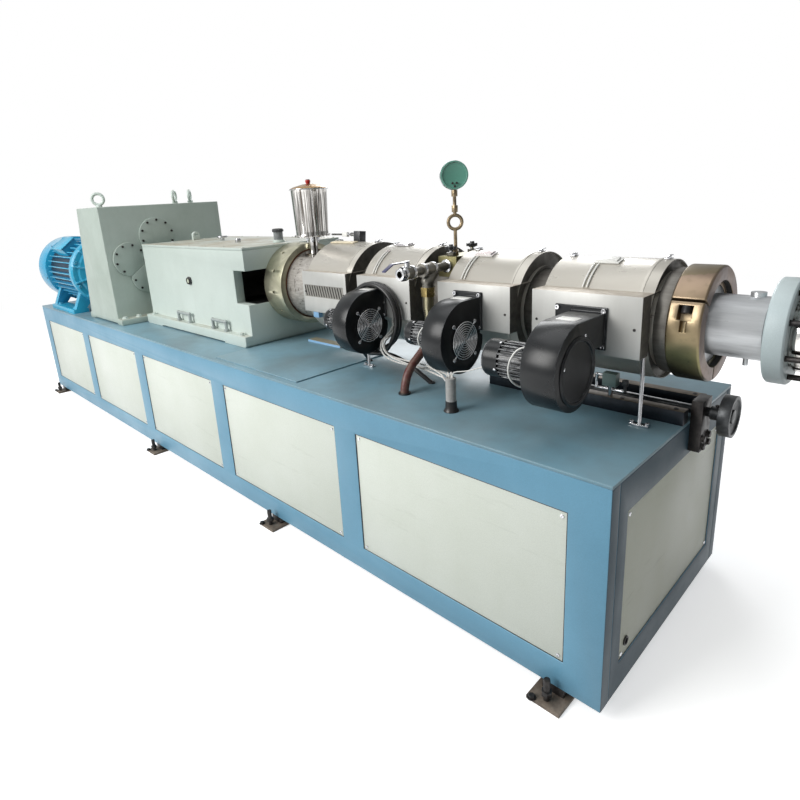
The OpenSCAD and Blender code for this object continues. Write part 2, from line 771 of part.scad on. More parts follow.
// Blower motors: small finned motors on the drive side of the volutes
small_r = [46, 46, 60];
small_l = [160, 160, 185];
small_fins = 24;
module blower_motors() color(dark_steel) {
    for (i = [0 : 2]) {
        x1 = x_die - blower_x[i] - blower_w[i];
        x0 = x1 - small_l[i];
        y = blower_y[i];
        z = deck_z + blower_z[i];
        rod_x(x0, x1, y, z, small_r[i] - 8);
        for (k = [0 : small_fins - 1])
            translate([x0 + 25, y, z]) rotate([k * 360 / small_fins, 0, 0])
                translate([0, -2, small_r[i] - 12]) cube([small_l[i] - 37, 4, 12]);
        rod_x(x0, x0 + 26, y, z, small_r[i]);
        rod_x(x1 - 14, x1, y, z, small_r[i]);
    }
}

// Wire finger guards over the inlets of the two smaller blowers
guard_wire = 3;
guard_step = 12;
module fan_guards() color(dark_steel) {
    for (i = [0, 1])
        translate([x_die - blower_x[i], blower_y[i], deck_z + blower_z[i]]) rotate([0, 90, 0]) {
            for (r = [14 : guard_step : inlet_r[i] + 4])
                difference() {
                    cylinder(h = guard_wire, r = r + guard_wire / 2);
                    translate([0, 0, -1]) cylinder(h = guard_wire + 2, r = r - guard_wire / 2);
                }
            for (a = [45, 135])
                rotate([0, 0, a]) translate([-inlet_r[i] - 12, -guard_wire / 2, 0])
                    cube([2 * inlet_r[i] + 24, guard_wire, guard_wire]);
        }
}

// Short leads of the blower motors, from a gland at the top round to the underside
fan_lead_r = 4;
fan_lead_gap = 10;
thin_lead_r = 2;
thin_route = [[-495.3, -308, 182], [-512, -308, 182], [-545, -311, 172], [-580, -315, 158], [-612, -320, 150],
    [-632, -324, 146], [-643, -327, 140], [-645, -328, 130], [-645, -328, 122.3]];
module fan_leads() color(cream) {
    tube([for (q = thin_route) [x_die + q[0], q[1], deck_z + q[2]]], thin_lead_r, 8);
    for (i = [0 : 2])
        translate([x_die - blower_x[i] - blower_w[i] - 30, blower_y[i], deck_z + blower_z[i]]) {
            rotate([90, 0, 90]) rotate([0, 0, 118])
                rotate_extrude(angle = 150) translate([small_r[i] + fan_lead_gap, 0])
                    circle(r = fan_lead_r, $fn = 16);
            for (a = [28, 178])
                rotate([a, 0, 0]) translate([0, 0, small_r[i] + seat])
                    cylinder(h = fan_lead_gap + 4, r = 9, $fn = 24);
        }
}

// Black water hose hung in two turns over the first blower's outlet neck. One
// end runs down through the deck behind the vacuum hose, the other one behind the blower.
coil_tube = 10;
coil_r = 137;
coil_turns = 2;
coil_step = 2 * coil_tube + seat;
coil_x = blower_x[0] + blower_w[0] / 2;
coil_y = axis_y - duct_y - flange_t - seat - coil_tube;
coil_z = blower_z[0] + volute_r[0] + volute_grow[0] + seat
    - sqrt(pow(coil_r - coil_tube, 2) - pow(blower_w[0] / 2, 2));
module hose_coil() color(rubber_black) {
    translate([x_die - coil_x, coil_y, deck_z + coil_z]) rotate([90, 0, 0]) rotate_extrude() {
        for (k = [0 : coil_turns - 1])
            translate([coil_r, k * coil_step]) circle(r = coil_tube, $fn = 32);
        translate([coil_r - coil_tube / 2, 0]) square([coil_tube, (coil_turns - 1) * coil_step]);
    }
}
tail_front = [[62, -8, 110.5], [110, -8, 98], [160, -6, 76], [206, 0, 50], [246, 10, 26], [272, 18, 8.4]];
tail_back = [[-62, -18, 110.5], [-100, -4, 100], [-130, 22, 80], [-150, 52, 54], [-164, 80, 28],
    [-172, 98, 8.4]];
module hose_tails() color(rubber_black) {
    for (route = [tail_front, tail_back])
        tube([for (q = route) [x_die - coil_x + q[0], coil_y + q[1], deck_z + q[2]]], coil_tube - 1, 10);
}

// Braided heater leads in one loom, from the second duct box through the hose's
// coil and over to the sleeve
loom_r = 5;
loom_route = [[-1122, -124, 246.7], [-1122, -124, 226], [-1121, -130, 204], [-1119, -146, 186],
    [-1116, -170, 174], [-1112, -196, 164], [-1104, -214, 146], [-1086, -222, 124], [-1052, -220, 106],
    [-1010, -208, 94], [-965, -196, 86], [-915, -188, 82], [-865, -190, 80], [-815, -206, 80],
    [-768, -228, 82], [-738, -250, 84], [-709, -277, 92], [-690, -294, 107], [-676, -307, 122],
    [-663, -320, 133], [-656, -326, 132], [-654, -328, 127], [-654, -328, 122.3]];
module heater_leads() color(cream) {
    tube([for (q = loom_route) [x_die + q[0], q[1], deck_z + q[2]]], loom_r, 8);
}

// Grey sleeve that takes the loom through the deck, in its rubber foot
sleeve_x = 654;
sleeve_y = -328;
sleeve_r = 18;
sleeve_h = 122;
module cable_sleeve() color([0.62, 0.62, 0.60]) {
    translate([x_die - sleeve_x, sleeve_y, deck_z]) rotate_extrude() polygon([
        [0, 0], [sleeve_r + 9, 0], [sleeve_r + 9, 4], [sleeve_r + 3, 10], [sleeve_r + 2, 36],
        [sleeve_r, 36], [sleeve_r, sleeve_h], [0, sleeve_h]]);
}

// Vacuum vent between the second and third shrouds, with its pipework
vent_x = 928;
vent_w = 92;
vent_d = 96;
vent_z0 = 400;
vent_z1 = 492;
pipe_z = 455;
line_r = 17;
valve_y = -229;
tee_y = -118;
pipe_end_y = -273;
drop_z = 255;
branch_drop = 46;
bore_r = 13;
module vent_block() color(zinc_yellow) {
    x = x_die - vent_x;
    difference() {
        span([x - vent_w / 2, axis_y - vent_d, deck_z + vent_z0],
            [x + vent_w / 2, axis_y + vent_d, deck_z + vent_z1]);
        rod_x(x - vent_w, x + vent_w, axis_y, axis_z, barrel_r + seat);
    }
    for (s = [-1, 1]) {
        rod_z(deck_z + vent_z1, deck_z + vent_z1 + 22, x, axis_y + s * 70, 8);
        translate([x, axis_y + s * 70, deck_z + vent_z1 + 22 - eps]) star_knob();
    }
}
knob_r = 24;
knob_h = 24;
lobes = 5;
module star_knob() {
    cylinder(h = knob_h - 6, r = knob_r * 0.6);
    cylinder(h = knob_h, r = knob_r * 0.36);
    for (i = [0 : lobes - 1])
        rotate([0, 0, i * 360 / lobes]) translate([knob_r * 0.68, 0, 4])
            cylinder(h = knob_h - 12, r = knob_r * 0.34);
}
module vent_pipework() color([0.62, 0.60, 0.55]) {
    x = x_die - vent_x;
    z = deck_z + pipe_z;
    difference() {
        union() {
            rod_y(pipe_end_y, axis_y - vent_d, x, z, line_r);
            rod_y(tee_y - 34, tee_y + 34, x, z, line_r + 7);
            rod_y(valve_y - 30, valve_y + 26, x, z, line_r + 7);
            rod_y(pipe_end_y, pipe_end_y + 16, x, z, line_r + 5);
            rod_z(deck_z + drop_z, z - branch_drop, x, tee_y, line_r);
            translate([x, tee_y + branch_drop, z]) rotate([135, 0, 0])
                cylinder(h = branch_drop * sqrt(2), r = line_r + 6);
            translate([x, tee_y, z - branch_drop]) sphere(r = line_r + 8);
            rod_z(z - branch_drop - 22, z - branch_drop, x, tee_y, line_r + 6);
            translate([x, tee_y, z - branch_drop - 58]) cylinder(h = 36, r = line_r + 12, $fn = 6);
            rod_z(z - branch_drop - 110, z - branch_drop - 58, x, tee_y, line_r + 4);
            for (e = [valve_y - 30, valve_y + 14, tee_y - 34, tee_y + 24])
                rod_y(e, e + 12, x, z, line_r + 10);
            rod_y(axis_y - vent_d - 10, axis_y - vent_d, x, z, line_r + 9);
            rod_z(z, z + 40, x, valve_y, 11);
        }
        rod_y(pipe_end_y - 1, valve_y - 20, x, z, bore_r);
        rod_z(z + 20, z + 41, x, valve_y, lever_pin + lever_clear);
    }
}
lever_pin = 4;
lever_clear = 0.05;
lever_l = 80;
lever_drop = 22;
lever_tip = 44;
module valve_lever() color([0.10, 0.16, 0.45]) {
    x = x_die - vent_x;
    z = deck_z + pipe_z;
    rod_z(z + 20.3, z + 41, x, valve_y, lever_pin);
    rod_z(z + 40.3, z + 46, x, valve_y, 10);
    translate([x - 9, 0, 0]) rotate([90, 0, 90]) linear_extrude(height = 18) polygon([
        [valve_y, z + 40.3], [valve_y, z + 44.3], [valve_y - lever_l, z + 44.3],
        [valve_y - lever_l - lever_tip, z + 44.3 - lever_drop],
        [valve_y - lever_l - lever_tip, z + 40.3 - lever_drop], [valve_y - lever_l, z + 40.3]]);
}

// Pressure gauge on its siphon coil
gauge_y = 60;
gauge_z = 801;
gauge_r = 54;
gauge_t = 36;
gauge_turn = 45;
siphon_r = 27;
siphon_z = 622;
module pressure_gauge() color([0.35, 0.58, 0.50]) {
    x = x_die - vent_x;
    z = deck_z + gauge_z;
    rod_z(deck_z + vent_z1, deck_z + siphon_z - siphon_r, x, gauge_y, 7);
    rod_z(deck_z + siphon_z + siphon_r, z - gauge_r + 5, x, gauge_y, 7);
    for (h = [[deck_z + vent_z1, 20], [deck_z + siphon_z + siphon_r + 12, 26], [z - gauge_r - 26, 24]])
        translate([x, gauge_y, h[0]]) cylinder(h = h[1], r = 13, $fn = 6);
    translate([x, gauge_y, z]) rotate([0, 0, gauge_turn]) rotate([90, 0, 0]) rotate_extrude() polygon([
        [0, -gauge_t / 2], [gauge_r - 8, -gauge_t / 2], [gauge_r - 3, -gauge_t / 2 + 5],
        [gauge_r - 3, gauge_t / 2 - 12], [gauge_r, gauge_t / 2 - 12], [gauge_r, gauge_t / 2],
        [gauge_r - 6, gauge_t / 2], [gauge_r - 6, gauge_t / 2 - 4], [0, gauge_t / 2 - 4]]);
    translate([x, gauge_y, deck_z + siphon_z]) rotate([0, 0, gauge_turn]) rotate([90, 0, 0])
        rotate_extrude() translate([siphon_r, 0]) circle(r = 7, $fn = 24);
}

// Vacuum hose from the vent's drop pipe into the deck
hose_r = 17;
hose_route = [[0, 0, 255], [0, 0, 245], [1, -7, 203], [3, -26, 168], [6, -56, 140], [8, -88, 120],
    [10, -120, 100], [13, -150, 72], [15, -169, 37], [16, -176, 10], [16, -176, 0]];
module vent_hose() color(rubber_red) {
    x = x_die - vent_x;
    tube([for (p = hose_route) [x + p[0], tee_y + p[1], deck_z + p[2]]], hose_r, 12);
}

// Clamp in two parts round the barrel's end. One split opens on the service
// side, where the bolt sits in its pocket, and the other almost straight down.
split = 8;
split_turns = [32, -85];
clamp_bore = 118;
clamp_edge = 5;
pocket_turn = 20;
pocket_w = 38;
pocket_h = 44;
pocket_d = 30;
groove_w = 18;
groove_d = 12;
groove_l = 34;
module clamp() color(zinc_yellow) {
    x0 = x_die + clamp_back;
    difference() {
        translate([x0, axis_y, axis_z]) rotate([0, 90, 0]) rotate_extrude() polygon([
            [clamp_bore, 0], [clamp_r - clamp_edge, 0], [clamp_r, clamp_edge],
            [clamp_r, clamp_w - clamp_edge], [clamp_r - clamp_edge, clamp_w],
            [clamp_bore + 14, clamp_w], [clamp_bore + 14, clamp_w - 18],
            [clamp_bore, clamp_w - 18]]);
        for (a = split_turns)
            translate([x0 - 1, axis_y, axis_z]) rotate([-a, 0, 0])
                span([0, -clamp_r - 1, -split / 2], [clamp_w + 2, -clamp_bore + 12, split / 2]);
        translate([x0 + clamp_w / 2, axis_y, axis_z]) rotate([-pocket_turn, 0, 0]) {
            span([-pocket_w / 2, -clamp_r - 1, -pocket_h / 2],
                [pocket_w / 2, -clamp_r + pocket_d, pocket_h / 2]);
            translate([0, -clamp_r + groove_d, -pocket_h / 2 - groove_l])
                cylinder(h = groove_l + 6, r = groove_w / 2);
            span([-groove_w / 2, -clamp_r - 1, -pocket_h / 2 - groove_l],
                [groove_w / 2, -clamp_r + groove_d, -pocket_h / 2 + 1]);
        }
    }
}

// Neck that carries the melt from the barrel to the die, with a plug on top and
// a pressure pin below
neck_gap = 12;
plug_x = 136;
module neck() color(stainless) {
    x0 = x_die + clamp_back;
    difference() {
        union() {
            rod_x(x0, x_die + clamp_front - 20, axis_y, axis_z, clamp_bore - seat);
            rod_x(x0, x_die + neck_end - neck_gap, axis_y, axis_z, neck_r);
            rod_x(x_die + neck_end - neck_gap - eps, x_die + neck_end, axis_y, axis_z, neck_r - 10);
            rod_z(axis_z + neck_r - 4, axis_z + neck_r + 12, x_die + plug_x, axis_y, 20);
            rod_z(axis_z - neck_r - 22, axis_z - neck_r + 4, x_die + plug_x - 14, axis_y, 7);
        }
        rod_x(x0 - 1, x_die + neck_end + 1, axis_y, axis_z, melt_r);
    }
}

// Die: two flanges, the body between them and the tie rods
die_edge = 5;
module die_disc() {
    rotate([0, 90, 0]) rotate_extrude() polygon([[melt_r, 0], [die_r - die_edge, 0], [die_r, die_edge],
        [die_r, die_t - die_edge], [die_r - die_edge, die_t], [melt_r, die_t]]);
}
tie_pcd = 2 * (die_body_r + die_r) / 2;
module tie_circle() {
    for (i = [0 : ties - 1])
        translate([0, axis_y + tie_pcd / 2 * cos(360 * (i + 0.5) / ties),
            axis_z + tie_pcd / 2 * sin(360 * (i + 0.5) / ties)])
            children();
}
die_x = x_die + neck_end;
tie_start = 12;
nut_r = 15;
nut_clear = 2;
module die_flange() color(die_grey) {
    difference() {
        translate([die_x, axis_y, axis_z]) die_disc();
        tie_circle() rod_x(die_x + tie_start, die_x + die_t + 1, 0, 0, tie_r + screw_clear);
    }
}
module die_body() color(bright_steel) {
    difference() {
        rod_x(die_x + die_t, die_x + die_t + die_body_l, axis_y, axis_z, die_body_r);
        rod_x(die_x, die_x + die_t + die_body_l + 1, axis_y, axis_z, melt_r);
    }
}
outlet_x = die_x + die_t + die_body_l;
module die_outlet() color(die_grey) {
    difference() {
        translate([outlet_x, axis_y, axis_z]) die_disc();
        tie_circle() rod_x(outlet_x - 1, outlet_x + die_t + 1, 0, 0, tie_r + screw_clear);
        tie_circle() rod_x(outlet_x + die_t - nut_h - 1, outlet_x + die_t + 1, 0, 0, nut_r + nut_clear);
    }
}
module tie_rods() color(dark_steel) {
    x1 = outlet_x + die_t - 1;
    tie_circle() {
        rod_x(die_x + tie_start, x1, 0, 0, tie_r);
        translate([x1 - nut_h, 0, 0]) rotate([0, 90, 0]) cylinder(h = nut_h - 6, r = nut_r, $fn = 6);
    }
}

// Slide under the die end of the barrel: rails, carriage, bracket and lead screw,
// with the drain valve of the barrel's cooling on the front rail
screw_z = deck_z + 24;
module slide_rails() color(dark_steel) {
    for (s = [-1, 1])
        span([x_die - rail_l, axis_y + s * (rail_gap + rail_w) / 2 - rail_w / 2, deck_z],
            [x_die, axis_y + s * (rail_gap + rail_w) / 2 + rail_w / 2, deck_z + rail_h]);
}
carriage_x0 = shroud_x[2] - 8;
carriage_x1 = shroud_x[3] + shroud_l[3] + 8;
nut_w = 60;
module barrel_carriage() color(die_grey) {
    x0 = x_die - carriage_x0;
    x1 = x_die - carriage_x1;
    difference() {
        union() {
            span([x0, axis_y - rail_gap / 2 - rail_w, deck_z + rail_h],
                [x1, axis_y + rail_gap / 2 + rail_w, deck_z + rail_h + 22]);
            span([x0, axis_y - 70, deck_z + rail_h], [x1, axis_y + 70, axis_z - 60]);
            span([x0, axis_y - nut_w / 2, deck_z + 4], [x1, axis_y + nut_w / 2, deck_z + rail_h + 1]);
        }
        rod_x(x0 - 1, x1 + 1, axis_y, axis_z, barrel_r + seat);
        rod_x(x0 - 1, x1 + 1, axis_y, screw_z, screw_r + screw_clear);
    }
}
valve_x = 262;
valve_in = 14;
valve_l = 46;
valve_d = 30;
valve_up = 38;
valve_h = 44;
bend_r = 5;
bend_out = 26;
bend_up = 24;
module drain_valve() color(die_grey) {
    x0 = x_die - valve_x;
    y = axis_y - rail_gap / 2 - rail_w + valve_in;
    z = deck_z + rail_h;
    rod_z(z, z + valve_up + 1, x0 + valve_l / 2, y, 8);
    span([x0, y - valve_d / 2, z + valve_up], [x0 + valve_l, y + valve_d / 2, z + valve_up + valve_h]);
    rod_x(x0 - bend_out, x0 + 1, y, z + valve_up + valve_h - 12, bend_r);
    rod_z(z + bend_up, z + valve_up + valve_h - 12, x0 - bend_out, y, bend_r);
    rod_x(x0 - bend_out, x0 + valve_l + bend_out, y, z + bend_up, bend_r);
    rod_z(z + bend_up, z + valve_up + 24, x0 + valve_l + bend_out, y, bend_r);
    rod_z(z + valve_up + 8, z + valve_up + 26, x0 + valve_l + bend_out, y, 10);
    for (e = [[-bend_out, valve_up + valve_h - 12], [-bend_out, bend_up], [valve_l + bend_out, bend_up]])
        translate([x0 + e[0], y, z + e[1]]) sphere(r = bend_r + 1);
}
bracket_t = 34;
bracket_w = 84;
bracket_z0 = deck_z - 103;
bracket_z1 = deck_z + 66;
module screw_bracket() color(dark_steel) {
    difference() {
        span([x_die, axis_y - bracket_w / 2, bracket_z0],
            [x_die + bracket_t, axis_y + bracket_w / 2, bracket_z1]);
        rod_x(x_die - 1, x_die + bracket_t + 1, axis_y, screw_z, screw_r + screw_clear);
    }
}
wheel_x = 96;
wheel_w = 34;
module lead_screw() color(dark_steel) {
    rod_x(x_die - carriage_x0 + 2, x_die + wheel_x, axis_y, screw_z, screw_r);
    translate([x_die + wheel_x, axis_y, screw_z]) rotate([0, 90, 0]) {
        translate([0, 0, -50]) cylinder(h = 64, r = 22);
        rotate_extrude() polygon([[20, -4], [wheel_r - 12, 4], [wheel_r - 10, -wheel_w / 2],
            [wheel_r, -wheel_w / 2], [wheel_r, wheel_w / 2], [wheel_r - 10, wheel_w / 2],
            [wheel_r - 12, 12], [20, 6]]);
    }
}

frame_front();
frame_back();
frame_ends();
deck();
panels_front();
panels_back();
panels_ends();
levelling_feet();
deck_cover();
motor();
motor_cowl();
motor_coupling();
reducer();
reducer_covers();
lifting_eyes();
gear_case();
gear_case_lid();
gear_case_fittings();
oil_pipes();
screw_couplings();
coupling_ring();
barrel();
feed_pot();
shroud_1();
shroud_2();
shroud_3();
shroud_4();
heater_terminals();
support_posts();
blower_1();
blower_2();
blower_3();
blower_motors();
fan_guards();
fan_leads();
hose_coil();
hose_tails();
heater_leads();
cable_sleeve();
vent_block();
vent_pipework();
valve_lever();
pressure_gauge();
vent_hose();
clamp();
neck();
die_flange();
die_body();
die_outlet();
tie_rods();
slide_rails();
barrel_carriage();
drain_valve();
screw_bracket();
lead_screw();
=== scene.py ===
# Twin-screw plastic extruder: the looks of every piece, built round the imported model.
import math

import bpy
from mathutils import Matrix, Vector


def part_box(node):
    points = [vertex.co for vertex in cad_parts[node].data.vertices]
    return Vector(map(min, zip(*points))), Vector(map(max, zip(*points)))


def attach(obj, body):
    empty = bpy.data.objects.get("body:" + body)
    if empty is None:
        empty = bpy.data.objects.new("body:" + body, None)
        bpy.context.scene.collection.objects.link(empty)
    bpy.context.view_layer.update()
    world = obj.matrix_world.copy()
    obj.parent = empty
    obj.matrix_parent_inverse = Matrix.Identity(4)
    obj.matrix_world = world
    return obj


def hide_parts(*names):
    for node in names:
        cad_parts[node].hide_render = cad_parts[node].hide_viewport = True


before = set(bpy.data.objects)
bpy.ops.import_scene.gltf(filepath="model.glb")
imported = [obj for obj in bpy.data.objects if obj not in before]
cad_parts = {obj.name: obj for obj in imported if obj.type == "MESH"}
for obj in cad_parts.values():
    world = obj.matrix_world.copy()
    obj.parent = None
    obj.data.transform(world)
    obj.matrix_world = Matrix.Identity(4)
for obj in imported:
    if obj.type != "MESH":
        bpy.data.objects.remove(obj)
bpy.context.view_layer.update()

# Camera: where the photograph was taken from, to the right of the service side and a little
# above the barrel. Its focal length and its middle are in pixels of the photograph.
deck_low, deck_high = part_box("deck")
x_die, y_front, deck_top = deck_high.x, deck_low.y, deck_high.z
camera_place = Vector((x_die + 0.535, y_front - 1.272, deck_top + 0.728))
camera_yaw, camera_pitch, camera_roll = (math.radians(a) for a in (45.91, 15.77, -3.35))
photo_size, focal_length, photo_middle = 800, 565.6, (389.4, 358.4)
ahead = Vector((
    -math.sin(camera_yaw) * math.cos(camera_pitch),
    math.cos(camera_yaw) * math.cos(camera_pitch),
    -math.sin(camera_pitch),
))
level = Vector((math.cos(camera_yaw), math.sin(camera_yaw), 0))
upright = level.cross(ahead)
right = math.cos(camera_roll) * level + math.sin(camera_roll) * upright
above = math.cos(camera_roll) * upright - math.sin(camera_roll) * level
camera_data = bpy.data.cameras.new("camera")
camera_data.sensor_width = 36
camera_data.lens = focal_length / photo_size * camera_data.sensor_width
camera_data.shift_x = (photo_size / 2 - photo_middle[0]) / photo_size
camera_data.shift_y = (photo_middle[1] - photo_size / 2) / photo_size
camera_data.clip_start = 0.05
camera = bpy.data.objects.new("camera", camera_data)
camera.matrix_world = Matrix.Translation(camera_place) @ Matrix((right, above, -ahead)).transposed().to_4x4()
bpy.context.scene.collection.objects.link(camera)
bpy.context.scene.camera = camera
bpy.context.scene.view_settings.view_transform = "Standard"


# Light: a soft sky that is weakest at the die end, a broad lamp on each long side and one overhead.
# Camera and glass rays see plain white, and metal mirrors a paler sky than the one that lights it.
def add(tree, kind, inputs=None, **settings):
    made = tree.nodes.new("ShaderNode" + kind)
    for name, value in settings.items():
        setattr(made, name, value)
    for name, value in (inputs or {}).items():
        if isinstance(value, bpy.types.NodeSocket):
            tree.links.new(value, made.inputs[name])
        else:
            made.inputs[name].default_value = value
    return made


def between(tree, value, low, high, to_low=0.0, to_high=1.0):
    return add(tree, "MapRange", {"Value": value, "From Min": low, "From Max": high,
                                  "To Min": to_low, "To Max": to_high}).outputs[0]


def worked(tree, operation, *values, **settings):
    return add(tree, "Math", dict(enumerate(values)), operation=operation, **settings).outputs[0]


world = bpy.data.worlds.new("studio")
bpy.context.scene.world = world
world.use_nodes = True
tree = world.node_tree
tree.nodes.clear()
rays = add(tree, "LightPath").outputs
seen = worked(tree, "MAXIMUM", rays["Is Camera Ray"], rays["Is Transmission Ray"])
heading = add(tree, "TexCoord").outputs["Generated"]
brightest = (-0.72, -0.3, 0.62)
towards = add(tree, "VectorMath", {0: heading, 1: brightest}, operation="DOT_PRODUCT").outputs["Value"]
sky_level = between(tree, towards, -0.6, 0.9, 0.12, 0.46)
mirror_level = between(tree, towards, -0.7, 0.9, 0.2, 0.85)
sky = add(tree, "Background", {"Color": (0.95, 0.98, 1.0, 1), "Strength": sky_level}).outputs[0]
mirrored = add(tree, "Background", {"Color": (0.97, 0.98, 0.98, 1), "Strength": mirror_level}).outputs[0]
white = add(tree, "Background", {"Color": (1, 1, 1, 1), "Strength": 1.0}).outputs[0]
in_metal = add(tree, "MixShader", {0: rays["Is Glossy Ray"], 1: sky, 2: mirrored}).outputs[0]
in_view = add(tree, "MixShader", {0: seen, 1: in_metal, 2: white}).outputs[0]
add(tree, "OutputWorld", {"Surface": in_view})
lamps = (
    ("service_side_lamp", 430, 4.0, (-1.2, -6.0, 4.2), (0.2, 0, 0.7), (1.0, 0.99, 0.97)),
    ("back_side_lamp", 200, 4.0, (-2.8, 5.6, 3.8), (-0.4, 0, 0.7), (0.98, 0.99, 1.0)),
    ("overhead_lamp", 60, 3.5, (0.6, -0.2, 5.2), (0.3, 0, 0.8), (0.98, 0.99, 1.0)),
)
for name, power, size, place, target, colour in lamps:
    data = bpy.data.lights.new(name, "AREA")
    data.energy = power
    data.size = size
    data.color = colour
    lamp = bpy.data.objects.new(name, data)
    aim = (Vector(target) - Vector(place)).to_track_quat("-Z", "Y")
    lamp.matrix_world = Matrix.Translation(place) @ aim.to_matrix().to_4x4()
    bpy.context.scene.collection.objects.link(lamp)

# Floor: a plain pale floor that fades to white well away from the machine. It lights the machine
# from below as a matt grey, and is pale only where the camera or a mirror sees it.
bpy.ops.object.select_all(action="DESELECT")
bpy.ops.mesh.primitive_plane_add(size=60, location=(0, 0, 0))
floor = bpy.context.object
floor.name = "studio_floor"
floor_material = bpy.data.materials.new("studio_floor")
floor_material.use_nodes = True
tree = floor_material.node_tree
tree.nodes.clear()
spot = add(tree, "TexCoord").outputs["Object"]
reach = add(tree, "VectorMath", {0: spot}, operation="LENGTH").outputs["Value"]
pale, matt = (add(tree, "BsdfDiffuse", {"Color": (c, c, c, 1)}).outputs[0] for c in (0.92, 0.26))
lifted, plain = (add(tree, "Emission", {"Color": (1, 1, 1, 1), "Strength": s}).outputs[0] for s in (0.55, 1))
rays = add(tree, "LightPath").outputs
shown = worked(tree, "MAXIMUM", rays["Is Camera Ray"], rays["Is Glossy Ray"])
lifted_pale = add(tree, "AddShader", {0: pale, 1: lifted}).outputs[0]
seen_floor = add(tree, "MixShader", {0: between(tree, reach, 3.5, 9.0), 1: lifted_pale, 2: plain}).outputs[0]
both = add(tree, "MixShader", {0: shown, 1: matt, 2: seen_floor}).outputs[0]
add(tree, "OutputMaterial", {"Surface": both})
floor.data.materials.append(floor_material)


# Vacuum hose: a maroon rubber hose that drops from the vent's pipe in an easy bend and goes
# through the deck. It is dusty brown in patches and its moulded wall shows fine rings.
def at(x, y, z):
    """A place in millimetres: along from the die end, sideways from the middle, up from the deck."""
    return Vector((x_die + x / 1000, y / 1000, deck_top + z / 1000))


def display(colour):
    """Turns a colour as a screen shows it, from 0 to 255, to the linear one of a shader."""
    shares = [(c / 255 / 12.92 if c < 10 else ((c / 255 + 0.055) / 1.055) ** 2.4) for c in colour]
    return (*shares, 1)


def colour_mix(tree, factor, first, second, mode="MIX"):
    made = tree.nodes.new("ShaderNodeMix")
    made.data_type = "RGBA"
    made.blend_type = mode
    for socket, value in zip((made.inputs[0], made.inputs[6], made.inputs[7]), (factor, first, second)):
        if isinstance(value, bpy.types.NodeSocket):
            tree.links.new(value, socket)
        else:
            socket.default_value = display(value) if isinstance(value, tuple) else value
    return made.outputs[2]


def noise(tree, place, scale, detail=2.0, roughness=0.5, distortion=0.0):
    return add(tree, "TexNoise", {"Vector": place, "Scale": scale, "Detail": detail, "Roughness": roughness,
                                  "Distortion": distortion}).outputs["Fac"]


def new_material(name):
    material = bpy.data.materials.new(name)
    material.use_nodes = True
    return material, material.node_tree


def object_place(tree):
    return add(tree, "TexCoord").outputs["Object"]


def finish_off(tree, colour, rough, height, strength, distance=0.0005, metallic=0.0):
    """Links a colour, a roughness and a relief to the shader of a material."""
    inputs = tree.nodes["Principled BSDF"].inputs
    relief = add(tree, "Bump", {"Height": height, "Strength": strength, "Distance": distance}).outputs[0]
    tree.links.new(colour, inputs["Base Color"])
    if isinstance(rough, bpy.types.NodeSocket):
        tree.links.new(rough, inputs["Roughness"])
    else:
        inputs["Roughness"].default_value = rough
    tree.links.new(relief, inputs["Normal"])
    inputs["Metallic"].default_value = metallic


def rubber(name, colour, worn, rough=0.45, ring_scale=0.0):
    material, tree = new_material(name)
    place = object_place(tree)
    blotch = noise(tree, place, 30.0, 5.0)
    mixed = colour_mix(tree, between(tree, blotch, 0.35, 0.7), colour, worn)
    gloss = between(tree, blotch, 0.0, 1.0, rough - 0.08, rough + 0.14)
    finish_off(tree, mixed, gloss, noise(tree, place, 900.0), 0.15, 0.0006)
    if ring_scale:
        normal = tree.nodes["Principled BSDF"].inputs["Normal"]
        rings = add(tree, "TexWave", {"Vector": place, "Scale": ring_scale}, bands_direction="Z")
        moulded = add(tree, "Bump", {"Height": rings.outputs["Fac"], "Normal": normal.links[0].from_socket,
                                     "Strength": 0.3, "Distance": 0.001})
        tree.links.new(moulded.outputs[0], normal)
    return material


def smooth_curve(name, route, radius, material):
    data = bpy.data.curves.new(name, "CURVE")
    data.dimensions = "3D"
    spline = data.splines.new("BEZIER")
    spline.bezier_points.add(len(route) - 1)
    for knot, point in zip(spline.bezier_points, route):
        knot.co = point
        knot.handle_left_type = "AUTO"
        knot.handle_right_type = "AUTO"
    spline.resolution_u = 8
    data.bevel_depth = radius / 1000
    data.bevel_resolution = 4
    data.use_fill_caps = True
    made = bpy.data.objects.new(name, data)
    bpy.context.scene.collection.objects.link(made)
    data.materials.append(material)
    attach(made, "machine")
    return made


def free_cord(name, route, radius, material, slot, stiffness, *nodes):
    """A hose or lead that hangs between two fittings, in the place of its plain solids."""
    made = smooth_curve(name, route, radius, material)
    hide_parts(*nodes)


vent_x, tee_y = -928, -118
hose_r = 17
hose_points = [
    (0, 0, 255), (0, 0, 245), (1, -7, 203), (3, -26, 168), (6, -56, 140), (8, -88, 120),
    (10, -120, 100), (13, -150, 72), (15, -169, 37), (16, -176, 10), (16, -176, 0),
]
maroon = rubber("maroon_rubber", (88, 24, 27), (112, 92, 80), 0.36, 60.0)
free_cord("vacuum_hose", [at(vent_x + x, tee_y + y, z) for x, y, z in hose_points], hose_r, maroon,
          "hose_rubber", "medium", "vent_hose")

